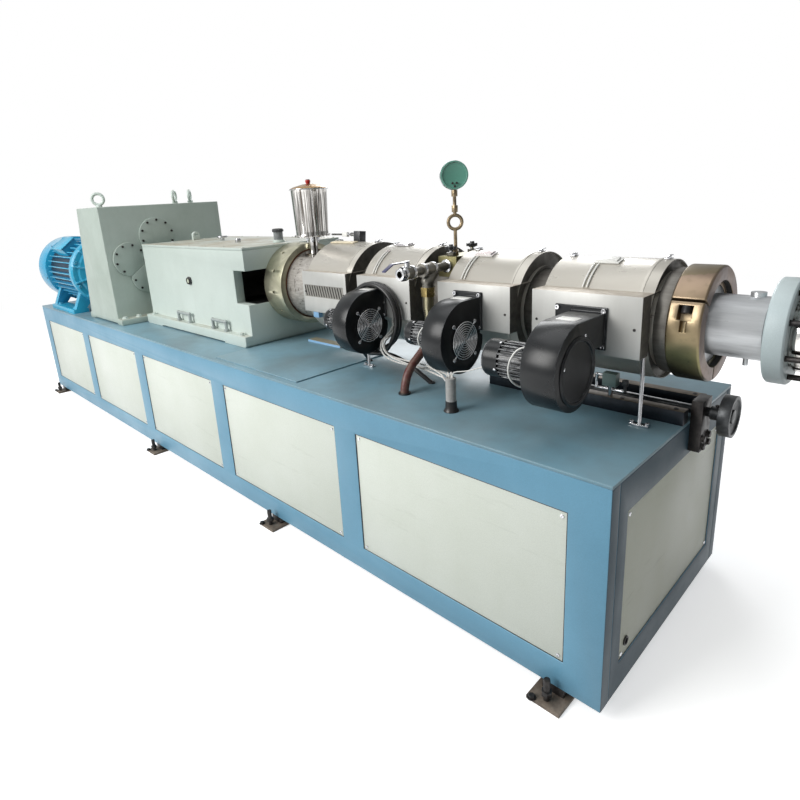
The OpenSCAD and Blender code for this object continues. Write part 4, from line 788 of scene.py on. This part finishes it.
# Coupling ring: a turned steel ring that draws the barrel onto the gear case. It is zinc plated
# with a yellow passivation, its tommy-bar holes are painted dark as shade, and its inner edge is brown with
# rust.
def passivated(name, hues, rough=0.3, scale=3.0, along=None):
    """Zinc whose hue drifts from place to place, or runs from a low to a high place along it, which can also
    paint shade low down.
    """
    material, tree = new_material(name)
    place = object_place(tree)
    level = noise(tree, place, scale, 4.0, 0.5, 0.8)
    if along:
        share = between(tree, add(tree, "SeparateXYZ", {0: place}).outputs["Z"], *along)
        wander = worked(tree, "SUBTRACT", level, 0.5)
        level = worked(tree, "MULTIPLY_ADD", wander, 0.55, share, use_clamp=True)
    ramp = add(tree, "ValToRGB", {"Fac": level})
    stops = ramp.color_ramp.elements
    first, last = (0.02, 0.98) if along else (0.28, 0.72)
    for i, hue in enumerate(hues):
        stop = stops[i] if i < 2 else stops.new(0.5)
        stop.color = display(hue)
        stop.position = first + (last - first) * i / (len(hues) - 1)
    dirt = noise(tree, place, 45.0, 6.0)
    dull = colour_mix(tree, between(tree, dirt, 0.55, 0.75, 0.0, 0.3), ramp.outputs[0], (96, 88, 70))
    finish_off(tree, dull, between(tree, dirt, 0.0, 1.0, rough, rough + 0.2), dirt, 0.08, metallic=0.85)
    return material


def from_axis(place):
    return math.hypot(place.y - axis_y, place.z - axis_up)


ring_front, inner_r = case_front + 156, 182
ring_zinc = passivated("ring_zinc", ((124, 124, 104), (168, 166, 144), (198, 195, 172), (140, 134, 102),
                                     (106, 105, 84)), 0.24, 4.0)
rusty_steel = bare_metal("rusty_steel", (134, 92, 66), (74, 52, 42), 0.55, 0.35, contrast=0.8, bump=0.4)
# Near-black for bores, holes and the blowers' insides: painted shade.
bore_shade = rubber("bore_shade", (12, 12, 12), (24, 22, 20), 0.6)
dress("coupling_ring", ring_zinc, 3, parts=(
    (bore_shade, lambda place, normal: 100 < from_axis(place) < 213 and abs(normal.x) < 0.5
     and ring_front - 115 < place.x < ring_front - 55),
    (rusty_steel, lambda place, normal: 100 < from_axis(place) < inner_r and abs(normal.x) < 0.5
     and place.x > ring_front - 54),
))
rust_band = turned("ring_rust_band", [(179, 0), (187, 0), (187, 0.6), (179, 0.8)], 96)
bpy.ops.object.mode_set(mode="EDIT")
bpy.ops.mesh.select_all(action="DESELECT")
bpy.ops.object.mode_set(mode="OBJECT")
for face in rust_band.data.polygons:
    face.select = len(face.vertices) > 8
bpy.ops.object.mode_set(mode="EDIT")
bpy.ops.mesh.delete(type="FACE")
bpy.ops.object.mode_set(mode="OBJECT")
rust_band.modifiers.new("thickness", "SOLIDIFY").thickness = 0.0004
bpy.ops.object.modifier_apply(modifier="thickness")
rust_band.data.transform(standing((ring_front + 0.4, axis_y, axis_up), to_die))
seated(rust_band, rusty_steel)

# Barrel: the feed section is a rough turned casting with short tool marks, dulled and stained.
# The rest is a dull machined barrel that shows only between the shrouds.
feed_end = -1719.5
cast_steel = bare_metal("rough_cast_steel", (200, 196, 190), (120, 114, 107), 0.4, 0.4,
                        (9.0, 34.0, 34.0), 1.0, 0.6)
tree = cast_steel.node_tree
slanted = add(tree, "Mapping", {"Vector": object_place(tree), "Scale": (26.0, 60.0, 14.0),
                                "Rotation": (0.0, 0.6, 0.0)}).outputs[0]
nicks = between(tree, noise(tree, slanted, 1.6, 3.0), 0.6, 0.68, 0.0, 0.8)
overlaid(cast_steel, nicks, (58, 50, 48))
dull_barrel = bare_metal("dull_barrel_steel", (126, 123, 117), (88, 84, 79), 0.42, 0.5, (2.0, 12.0, 12.0))
dress("barrel", cast_steel, 2, parts=(
    (dull_barrel, lambda place, normal: place.x > feed_end
     or (abs(normal.x) > 0.8 and place.x > feed_end - 5.5)),
))

# Feed pot: a spun and polished stainless vessel on its stem, with a domed bronze-tinted lid and
# a red knob with a dark top. Dark and pale streaks round the vessel are painted reflections. Three
# over-centre clasps hold it to its stem.
pot_x, pot_top = -1920, 568 + 228
polished_with_reflections = bare_metal("polished_stainless_painted_reflections", (248, 246, 242), (86, 78, 70), 0.08, 1.0,
                      (26.0, 26.0, 0.25), 0.34, 0.02)
lid_bronze = bare_metal("lid_bronze", (196, 158, 104), (132, 102, 66), 0.25, 0.9)
knob_red = painted("knob_red", (186, 34, 30), (150, 24, 24), 0.3, edge_wear=0.1)
dress("feed_pot", polished_with_reflections, 1.5, parts=(
    (lid_bronze, lambda place, normal: place.z > pot_top + 6),
    (knob_red, lambda place, normal: place.z > pot_top + 27),
    (dark_plastic, lambda place, normal: place.z > pot_top + 46),
))
seated(turned("pot_rim", [(97, 0), (100.5, 1.5), (100.5, 4), (97, 5.5)], 64,
              standing((pot_x, axis_y, pot_top - 2), to_top)), bright_steel)
clasp = joined("clasp", [
    block("clasp_base", (-17, -9, 0), (17, 9, 3), 0.8),
    block("clasp_hump", (-11, -7, 2), (5, 7, 11), 2),
    block("clasp_lever", (-2, -4.5, 8), (26, 4.5, 12), 1.2),
    block("clasp_hook", (-20, -3, 3), (-9, 3, 9), 1.2),
])
pot_clasps = [standing((pot_x + 24 * c, axis_y + 24 * s, 548), (c, s, 0), 90)
              for c, s in ((0.7, -0.7), (-0.7, -0.7), (0.7, 0.7))]
set_out(clasp, "pot_clasps", pot_clasps, bright_steel)

# Shrouds: rolled stainless sheet round the heaters, with a folded duct box in front of each.
# Two clasps close each shroud on top, small screws hold the box, and its end rings are painted darker as
# shade.
duct_face, duct_top, duct_side = -138, 412, -70
shrouds = ((1400, 320, 226), (1010, 312, 216), (540, 322, 202), (94, 360, 190))
box_tints = ((196, 196, 193), (178, 178, 174), 0.42, 0.4, (3.0, 3.0, 0.8), 0.9)
sheet_steel = bare_metal("rolled_stainless", (194, 190, 181), (180, 176, 167), 0.32, 0.4,
                         (1.2, 4.0, 4.0), 1.2, 0.0)
box_steel = bare_metal("folded_box_steel", *box_tints, 0.08)
louvre_steel_and_shade = bare_metal("louvred_box_steel", *box_tints, 0.08)
fold_steel = bare_metal("fold_steel", (198, 190, 178), (172, 162, 148), 0.4, 0.4)
# The boxes' ends take a darker copy of the box steel: painted shade on those sides.
box_side_shade = bare_metal("box_side_painted_shade", (146, 144, 139), (122, 119, 113), 0.45, 0.4,
                        (3.0, 3.0, 0.8), 0.9, 0.05)
end_ring_shade = bare_metal("end_ring_shade", (112, 110, 104), (84, 82, 78), 0.5, 0.5)
slot_shade = rubber("louvre_slot_shade", (62, 60, 57), (84, 82, 78), 0.5)
# A darker strip over the louvred part of the first box is painted shade among the louvres.
tree, spot = own_place(louvre_steel_and_shade)
louvred_x = worked(tree, "COMPARE", spot["X"], x_die - 1.564, 0.143)
louvred_z = worked(tree, "COMPARE", spot["Z"], deck_top + 0.324, 0.029)
overlaid(louvre_steel_and_shade, worked(tree, "MULTIPLY", louvred_x, louvred_z), (140, 138, 132))
clasps, box_screws = [], []
for i, (start, length, r) in enumerate(shrouds):
    front, back = -start, -start - length
    dress("shroud_%d" % (i + 1), sheet_steel, 1.2, parts=(
        (louvre_steel_and_shade if i == 0 else box_steel, lambda place, normal: place.y < duct_face + 0.6),
        (box_side_shade, lambda place, normal: abs(normal.x) > 0.7 and place.y < axis_y + duct_side),
        (fold_steel, lambda place, normal: abs(place.z - duct_top) < 5 and place.y < axis_y - r / 2
         and normal.z > 0.9),
        (end_ring_shade, lambda place, normal: abs(normal.x) > 0.8 and place.y > axis_y + duct_side
         and from_axis(place) < r - 3.5),
        (slot_shade, lambda place, normal: i == 0 and duct_face + 0.3 < place.y < duct_face + 6
         and 295 < place.z < 355 and back + 14 < place.x < front - 20),
    ))
    clasps.append(standing((front - 22, axis_y, axis_up + r), to_top, -90))
    clasps.append(standing((back + 22, axis_y, axis_up + r), to_top, 90))
    for x in (front - 20, back + 18):
        box_screws.append(standing((x, duct_face, duct_top - 94), to_front, size=0.7))
set_out(clasp, "shroud_clasps", clasps, bright_steel)
set_out(pan_screw, "box_screws", box_screws, black_steel)

# Heater terminals: a cream flap and a chromed terminal head on the first shroud, bare white
# plates with pinkish covers on the others, and white leads down to the duct boxes.
first_top, above_leads = axis_up + 226, axis_up + 150
cream_plastic = painted("cream_plastic", (226, 214, 186), (200, 186, 156), 0.45, edge_wear=0.1)
white_plate = painted("white_plate", (232, 226, 226), (222, 196, 196), 0.35, mottle_scale=22.0, mottle=0.9,
                      edge_wear=0.3)
lead_white = painted("lead_white_sleeve", (238, 238, 234), (206, 204, 198), 0.4, edge_wear=0.0)
dress("heater_terminals", bright_steel, 0.8, parts=(
    (cream_plastic, lambda place, normal: place.x < -1540 and 500 < place.z < first_top + 8 and place.y < 95),
    (dark_plastic, lambda place, normal: -1601 < place.x < -1555 and place.z > first_top + 22),
    (lead_white, lambda place, normal: -1702 < place.x < -1665 and place.z > first_top + 20
     and place.y > 105),
    (white_plate, lambda place, normal: place.x > -1300 and place.z > above_leads and from_axis(place) > 191
     and normal.z > 0.2),
    (lead_white, lambda place, normal: place.x > -1300 and place.z < axis_up + 195 and place.y < 60),
    (light_blue, lambda place, normal: place.z < 300),
))

# Posts: chromed rods that carry the barrel's weight to the deck. Each stands on a T foot, held
# by two cap screws.
dress("support_posts", bright_steel, 0.8)
post_screws = [standing((x + e * 24, y, 8), to_top, size=0.9)
               for x, y in ((-104, -80), (-1300, -118)) for e in (-1, 1)]
set_out(cap_screw, "post_screws", post_screws, bright_steel)

# Blowers: folded and rolled sheet scrolls in satin black. Plated screws hold their flanges to the
# duct boxes and their side plates, a bare white plate lies on each, and a bladed wheel is inside.
blower_paint = painted("blower_black_paint", (15, 18, 21), (22, 25, 28), 0.3, 0.1, (70, 72, 72),
                       (128, 132, 136), mottle=0.5, dusty=0.15, streaks=0.0, edge_wear=0.5)
# The blowers' die-end sides take a darker copy of the black: painted shade on that side. The same black
# serves the glands and the third inlet ring.
black_and_side_shade = painted("blower_side_black", (7, 9, 12), (10, 13, 16), 0.42, edge=(120, 124, 128),
                     edge_wear=0.35, dusty=0.0)
for paint in (blower_paint, black_and_side_shade):
    paint.node_tree.nodes["Principled BSDF"].inputs["Specular IOR Level"].default_value = 0.35
wheel_black = rubber("blower_wheel_black", (8, 9, 10), (12, 13, 14), 0.6)
blades, blade_turn = 32, 38
blower_x, blower_y, blower_z = (-1150, -660, -200), (-238, -238, -308), (232, 234, 219)
blower_w, scroll_top, inlet_r = (84, 90, 110), (140, 140, 142), (68, 68, 92)
outlet_h, flange_w = (105, 105, 100), (127, 127, 172)
for i in range(3):
    face, y, z, r = blower_x[i], blower_y[i], blower_z[i], inlet_r[i]
    # Inside each inlet the scroll is painted near-black as shade.
    dress("blower_%d" % (i + 1), blower_paint, 3, parts=(
        (black_and_side_shade, lambda place, normal: normal.x > 0.9 and place.y < duct_face - 12),
        (bore_shade, lambda place, normal: place.x < face - 0.5 and place.y < duct_face - 12
         and math.hypot(place.y - y, place.z - z) < r + 0.5),
    ))
    top, middle = z + scroll_top[i], face - blower_w[i] / 2
    flange_screws = [standing((x, duct_face - 8, h), to_front) for h in (top + 6, top - outlet_h[i] - 6)
                     for x in (face - 4, face + 16 - flange_w[i])]
    set_out(cap_screw, "blower_%d_flange_screws" % (i + 1), flange_screws, bright_steel)
    low, high = (middle - 31, y + 20, top - 0.2), (middle + 31, y + 66, top + 0.9)
    plate = block("blower_%d_bare_plate" % (i + 1), low, high, 0.3, from_end)
    seated(plate, lead_white)
    hub = turned("hub", [(22, 0), (22, 26), (16, 34), (6, 36)])
    back_plate = turned("back_plate", [(r - 10, 0), (r - 10, 2), (20, 2.4)], 40)
    blade = block("blade", (r - 24, -1, 1), (r - 10, 1, 44), 0.3)
    rim = Matrix.Translation((r / 1000 - 0.017, 0, 0))
    tilt = rim @ Matrix.Rotation(math.radians(blade_turn), 4, "Z") @ rim.inverted()
    wheel = [hub, back_plate]
    wheel += [copied(blade, Matrix.Rotation(2 * math.pi * k / blades, 4, "Z") @ tilt) for k in range(blades)]
    bpy.data.objects.remove(blade)
    wheel = joined("blower_%d_wheel" % (i + 1), wheel)
    wheel.data.transform(standing((face - blower_w[i] + 10, y, z), to_die))
    seated(wheel, wheel_black)
side_screws = [(-1150, -147.4, 312), (-1150, -178, 150), (-200, -386.8, 245.1), (-200, -209.6, 191.9),
               (-200, -323.9, 123), (-200, -268, 318)]
set_out(pan_screw, "scroll_screws", [standing(place, to_die, size=0.85) for place in side_screws],
        bright_steel)
inlet_outline = [(104, 0), (104, 2.4), (98, 6), (92, 5), (86, -6), (84, -16)]
on_inlet = standing((blower_x[2], blower_y[2], blower_z[2]), to_die)
seated(turned("blower_3_inlet_ring", inlet_outline, 64, on_inlet), black_and_side_shade)

# Finger guards: rings of bright wire on two bent cross wires that end in eyes, screwed on over
# the inlets of the first two blowers.
wire_r, guard_rings, ring_step = 1.9, 8, 8.2
eye_r, eye_out, wire_up = 5.5, 84, 1.5
chrome_wire = bare_metal("chrome_wire", (240, 240, 240), (204, 204, 206), 0.24, 0.7)


def wire_ring(radius, segments, up=0.0):
    bpy.ops.mesh.primitive_torus_add(major_radius=radius / 1000, minor_radius=wire_r / 1000,
                                     major_segments=segments, minor_segments=8, location=(0, 0, up / 1000))
    only(bpy.context.object)
    bpy.ops.object.transform_apply(location=True)
    return bpy.context.object


for i in (0, 1):
    centre = (blower_x[i], blower_y[i], blower_z[i])
    guard = [wire_ring(9 + ring_step * k, 48, 4) for k in range(guard_rings)]
    for degrees in (45, 135):
        spun = Matrix.Rotation(math.radians(degrees), 4, "Z")
        lying = Matrix.Translation((0, 0, wire_up / 1000)) @ spun @ Matrix.Rotation(math.radians(90), 4, "Y")
        guard.append(turned("arm", [(wire_r * 1.15, -82), (wire_r * 1.15, 82)], 8, lying))
        for e in (-1, 1):
            eye = wire_ring(eye_r, 20)
            eye.data.transform(spun @ Matrix.Translation((e * eye_out / 1000, 0, wire_up / 1000)))
            guard.append(eye)
    made = joined("finger_guard_%d" % (i + 1), guard)
    bpy.ops.object.shade_smooth()
    made.data.transform(standing(centre, to_die))
    seated(made, chrome_wire)
    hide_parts("fan_guards")
    screws = [standing(place, to_die) for place, out, degrees in round_axis(*centre, eye_out, 4, 45)]
    set_out(pan_screw, "guard_screws_%d" % (i + 1), screws, bright_steel)

# Blower motors: small finned motors behind the scrolls. Each has a pressed cowl with air holes
# over its fan, held by four screws.
motor_r, motor_l, cowl_l = (46, 46, 60), (160, 160, 185), (26, 34, 57)
# Their fin edges are painted pale: wear, and a painted highlight on the fins.
fin_black = painted("fin_black_paint", (38, 39, 42), (26, 27, 29), 0.3, 0.12, (92, 90, 86), (196, 198, 200),
                    edge_wear=1.0, dusty=0.2)
dress("blower_motors", fin_black, 0.8)
for i in range(3):
    end, r = blower_x[i] - blower_w[i] - motor_l[i], motor_r[i] + 1.5
    cowl_outline = [(r - 14, 0), (r - 5, 2), (r, 9), (r, cowl_l[i]), (r - 2, cowl_l[i])]
    seated(turned("blower_motor_cowl_%d" % (i + 1), cowl_outline, 48,
                  standing((end - 1.5, blower_y[i], blower_z[i]), to_die)), blower_paint)
    # The cowl's air holes are dark ovals: painted shade.
    holes = [standing(place, to_motor, size=0.5)
             for share, count in ((0.3, 6), (0.55, 10), (0.78, 14)) if r * share < r - 14
             for place, out, degrees in round_axis(end - 1.5, blower_y[i], blower_z[i], r * share, count)]
    set_out(slot_hole, "blower_cowl_holes_%d" % (i + 1), holes, bore_shade)
    screws = [standing(place, out, size=0.8) for place, out, degrees
              in round_axis(end + cowl_l[i] - 8, blower_y[i], blower_z[i], r, 4, 200)]
    set_out(pan_screw, "blower_cowl_screws_%d" % (i + 1), screws, bright_steel)

# Fan leads: a white lead hangs in a loop on each blower motor, from a black gland on top to one
# below, and a thin one runs from the third motor to the grey sleeve.
lead_r, lead_swing, thin_lead_r = 3.2, 44, 2
first_turn, last_turn, knots = 28, 178, 9
thin_route = [(-495.3, -308, 182), (-512, -308, 182), (-545, -311, 172), (-580, -315, 158), (-612, -320, 150),
              (-632, -324, 146), (-643, -327, 140), (-645, -328, 130), (-645, -328, 122.3)]
gland = turned("gland", [(9, 0), (9, 5), (7.6, 6), (7.6, 9), (5.4, 13), (3.4, 14)], 12)
glands = []
for i in range(3):
    x = blower_x[i] - blower_w[i] - 30
    route = []
    for k in range(knots):
        share = k / (knots - 1)
        a = math.radians(first_turn + (last_turn - first_turn) * share)
        out = motor_r[i] + (16 if 0 < share < 1 else 12)
        swing = lead_swing * math.sin(math.pi * share) ** 0.6
        route.append(at(x - swing, blower_y[i] - out * math.sin(a), blower_z[i] + out * math.cos(a)))
    smooth_curve("fan_lead_%d" % (i + 1), route, lead_r, lead_white)
    for a in (math.radians(first_turn), math.radians(last_turn)):
        side, up = -math.sin(a), math.cos(a)
        place = (x, blower_y[i] + motor_r[i] * side, blower_z[i] + motor_r[i] * up)
        glands.append(standing(place, (0, side, up)))
set_out(gland, "fan_lead_glands", glands, black_and_side_shade)
thin_lead = smooth_curve("thin_fan_lead", [at(*p) for p in thin_route], thin_lead_r, lead_white)
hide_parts("fan_leads")

# Cable sleeve: a grey corrugated conduit that takes the loom through the deck, in a black rubber
# foot with a flared lip.
on_sleeve = standing((-654, -328, 0), to_top)
fold_pitch, fold_r, fold_root = 5.4, 18.4, 16.2
folds = [(15, 30)]
for k in range(17):
    low = fold_pitch * k
    folds += [(fold_root, low + 31.5), (fold_r, low + 33), (fold_r, low + 34.6), (fold_root, low + 36)]
folds += [(14.5, 123), (12.5, 123), (11.5, 118)]
sleeve_grey = painted("sleeve_grey_plastic", (176, 176, 174), (150, 150, 148), 0.45, edge_wear=0.2)
sleeve = seated(turned("cable_sleeve_ribbed", folds, 32, on_sleeve), sleeve_grey)
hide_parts("cable_sleeve")
foot_outline = [(27, 0), (27.4, 2), (25, 6), (21, 14), (20, 30), (20, 38), (18.6, 39), (17, 37)]
seated(turned("cable_sleeve_foot", foot_outline, 32, on_sleeve), black_rubber)

# Vent: a zinc plated block held down by two star knobs, with pipe fittings screwed together: a
# ball valve with bright rings and a blue lever, a branch, and a brass union over the drop pipe.
pipe_z, valve_y = 455, -229
branch_z = pipe_z - 46
ring_places = [valve_y - 30, valve_y + 14, tee_y - 34, tee_y + 24]
vent_zinc = passivated("vent_block_zinc", ((96, 92, 66), (134, 128, 92), (160, 152, 112), (116, 110, 80)),
                       0.32, 14.0)
pipe_metal = bare_metal("dull_pipe_metal", (138, 135, 127), (98, 94, 86), 0.36, 0.6)
brass = bare_metal("brass_union", (186, 168, 112), (142, 124, 80), 0.28, 0.9)
drop_pipe = bare_metal("drop_pipe_metal", (196, 188, 156), (156, 148, 120), 0.3, 0.8)
knob_black = painted("star_knob_black", (22, 23, 25), (34, 35, 37), 0.28, edge_wear=0.2)
lever_paint = painted("lever_blue_vinyl", (38, 42, 104), (26, 30, 78), 0.3, edge_wear=0.0)


def from_pipe(place):
    return math.hypot(place.x - vent_x, place.z - pipe_z)


def on_bright_ring(place, normal):
    along_ring = any(y - 1 < place.y < y + 13 for y in ring_places)
    return along_ring and from_pipe(place) > 24.6 and place.z > pipe_z - 28


dress("vent_block", vent_zinc, 1.5, parts=(
    (knob_black, lambda place, normal: place.z > 513.5),
    (bright_steel, lambda place, normal: 492.5 < place.z <= 513.5),
))
# The open end of the pipework's bore is painted dark as shade.
dress("vent_pipework", pipe_metal, 0.8, parts=(
    (bright_steel, on_bright_ring),
    (bright_steel, lambda place, normal: place.y < -257
     or (place.z > pipe_z + 21 and abs(place.y - valve_y) < 13)),
    (bright_steel, lambda place, normal: place.y > axis_y - 108),
    (brass, lambda place, normal: branch_z - 59 < place.z < branch_z - 21.5 and abs(place.y - tee_y) < 34),
    (drop_pipe, lambda place, normal: place.z <= branch_z - 58.5),
    (bore_shade, lambda place, normal: -272.5 < place.y < valve_y - 10 and from_pipe(place) < 13.2),
))
hex_foot = turned("hex_foot", [(19, 0), (20, 1.5), (20, 12), (18, 14), (10, 14)], 6)
knob_feet = [standing((vent_x, axis_y + s * 70, 492), to_top) for s in (-1, 1)]
set_out(hex_foot, "star_knob_nuts", knob_feet, pipe_metal)
dress("valve_lever", lever_paint, 0.8, body="valve_handle", parts=(
    (bright_steel, lambda place, normal: place.y > valve_y - 26),
))

# Pressure gauge: a green enamelled case on a coiled brass siphon. Three small screws show on its
# back, and a white dial, plain marks, a black needle and a bright rim are on its far side.
gauge_y, gauge_z, gauge_r = 60, 801, 54
gauge_paint = painted("gauge_green_enamel", (104, 166, 148), (88, 148, 130), 0.3, edge_wear=0.4)
siphon_brass = bare_metal("siphon_brass", (168, 150, 120), (104, 92, 76), 0.3, 0.85)
dress("pressure_gauge", gauge_paint, 0.8, parts=(
    (siphon_brass, lambda place, normal: place.z < gauge_z - gauge_r + 1),
))
on_gauge = (Matrix.Translation(at(vent_x, gauge_y, gauge_z)) @ Matrix.Rotation(math.radians(225), 4, "Z")
            @ Matrix.Rotation(math.radians(90), 4, "X"))
seated(turned("gauge_rim", [(54.5, 5), (56, 7), (56, 17), (54, 19), (49, 19), (47.5, 16.5)], 56, on_gauge),
       bright_steel)
seated(turned("gauge_dial", [(48, 13.4), (48, 14.6), (10, 14.8)], 56, on_gauge), lead_white)
pointing = on_gauge @ Matrix.Rotation(math.radians(128), 4, "Z")
marks = [block("needle", (-1, -9, 15.6), (1, 37, 16.4), 0.3, pointing),
         turned("needle_boss", [(4, 15.4), (4, 17.4), (2, 18)], 20, on_gauge)]
for k in range(31):
    on_mark = on_gauge @ Matrix.Rotation(math.radians(-135 + 9 * k), 4, "Z")
    marks.append(block("mark", (-0.5, 39.5 if k % 5 else 36, 15), (0.5, 44, 15.4), 0.1, on_mark))
seated(joined("gauge_marks_and_needle", marks), dark_plastic)
back_screws = [on_gauge @ Matrix.Translation((x / 1000, y / 1000, -0.018)) @ Matrix.Rotation(math.pi, 4, "X")
               @ Matrix.Scale(0.7, 4) for x, y in ((-8, -30), (8, -30), (0, -42))]
set_out(pan_screw, "gauge_back_screws", back_screws, black_steel)

# Clamp: two turned halves round the barrel's end, yellow zinc plated in gold, olive and pink, drawn
# together by a cap screw in a milled pocket. Their colour runs with height and is darkest at the bottom, as
# painted shade.
clamp_face, clamp_low, clamp_high = 44, 131, 485
clamp_hues_and_shade = ((66, 66, 58), (92, 90, 72), (134, 128, 92), (140, 126, 98), (206, 190, 134), (196, 180, 122),
              (122, 110, 88), (134, 116, 100))
clamp_zinc = passivated("clamp_zinc", clamp_hues_and_shade, 0.22, 5.0,
                        (deck_top + clamp_low / 1000, deck_top + clamp_high / 1000))
clamp_pink = passivated("clamp_face_zinc", ((112, 102, 100), (140, 128, 124), (166, 154, 148),
                                            (150, 128, 112)), 0.38, 6.0)
# The clamp's bore is painted dark as shade.
dress("clamp", clamp_zinc, 2, parts=(
    (clamp_pink, lambda place, normal: normal.x > 0.8 and place.x > clamp_face - 1),
    (bore_shade, lambda place, normal: from_axis(place) < 132 and abs(normal.x) < 0.5),
))
in_pocket = (Matrix.Translation(at(-4, axis_y, axis_up)) @ Matrix.Rotation(math.radians(-20), 4, "X")
             @ Matrix.Translation((0, -0.162, 0.0)))
seated(turned("clamp_bolt", [(15, 0), (15, 20), (14, 22), (8, 22), (7.6, 12), (1, 12)], 24, in_pocket),
       black_steel)

# Neck and die: a satin turned neck with a plug, two painted flanges, and a polished die body
# under ribbed bands, drawn together by dark tie rods.
satin_steel = bare_metal("satin_steel", (202, 204, 206), (172, 174, 176), 0.34, 0.7,
                         (2.0, 26.0, 26.0), 0.7, 0.04)
die_paint = painted("die_plate_paint", (196, 210, 212), (176, 190, 194), 0.42, 0.5, edge=(220, 228, 230),
                    edge_wear=0.4)
dress("neck", satin_steel, 1.5)
dress("die_flange", die_paint, 1)
dress("die_outlet", die_paint, 1)
# The die body and its bands carry the same painted reflections.
dress("die_body", polished_with_reflections, 2)
dress("tie_rods", black_steel, 1)
die_front, band_pitch = clamp_face + 142 + 52, 40
band_outline = [(103, 0), (107.5, 1.5), (109, 5), (109, 29), (107.5, 32.5), (103, 34)]
bands = [turned("band", band_outline, 72, standing((die_front + 8 + band_pitch * k, axis_y, axis_up), to_die))
         for k in range(5)]
seated(joined("die_body_bands", bands), polished_with_reflections)

# Slide: planed rails with cap screws, carriage, bracket with its bearing nut, and the lead screw
# with a dished handwheel, all dark with oil. The rails' tops are brown.
navy_steel = bare_metal("oiled_navy_steel", (38, 46, 54), (18, 22, 29), 0.36, 0.5)
rail_top = bare_metal("rail_top_steel", (118, 106, 92), (84, 76, 66), 0.4, 0.5)
wheel_cast = bare_metal("handwheel_cast", (84, 86, 88), (40, 42, 44), 0.34, 0.6)
dress("slide_rails", navy_steel, 1.5, parts=((rail_top, lambda place, normal: normal.z > 0.8),))
rail_screws = [standing((x, axis_y + s * 86, 45.4), to_top, height=0.35)
               for x in (-30, -200, -370, -540, -690) for s in (-1, 1)]
set_out(cap_screw, "rail_screws", rail_screws, black_steel)
dress("barrel_carriage", die_paint, 2)
dress("screw_bracket", black_steel, 2)
bracket_bolts = [standing((34, axis_y + y, z), to_die, 20) for y in (-26, 26) for z in (-86, -60)]
set_out(hex_bolt, "bracket_bolts", bracket_bolts, black_steel)
dress("lead_screw", wheel_cast, 1, body="hand_screw")
grub = standing((62, axis_y, 24 + 22), to_top, size=0.8)
set_out(cap_screw, "handwheel_grub_screw", [grub], black_steel, "hand_screw")

# Drain valve: a small cast body in green-grey on its stub, with a chromed bent pipe and a black
# fitting at its end.
valve_green = painted("valve_green_grey", (110, 132, 128), (84, 104, 102), 0.4, edge_wear=0.3)
dress("drain_valve", bright_steel, 1, parts=(
    (valve_green, lambda place, normal: place.z > 83 and -262.5 < place.x < -215.5),
    (dark_plastic, lambda place, normal: place.x > -200 and place.z > 53.5),
))

for pattern in (pan_screw, hex_bolt, cap_screw, slot_hole, clasp, hex_foot, gland):
    bpy.data.objects.remove(pattern)
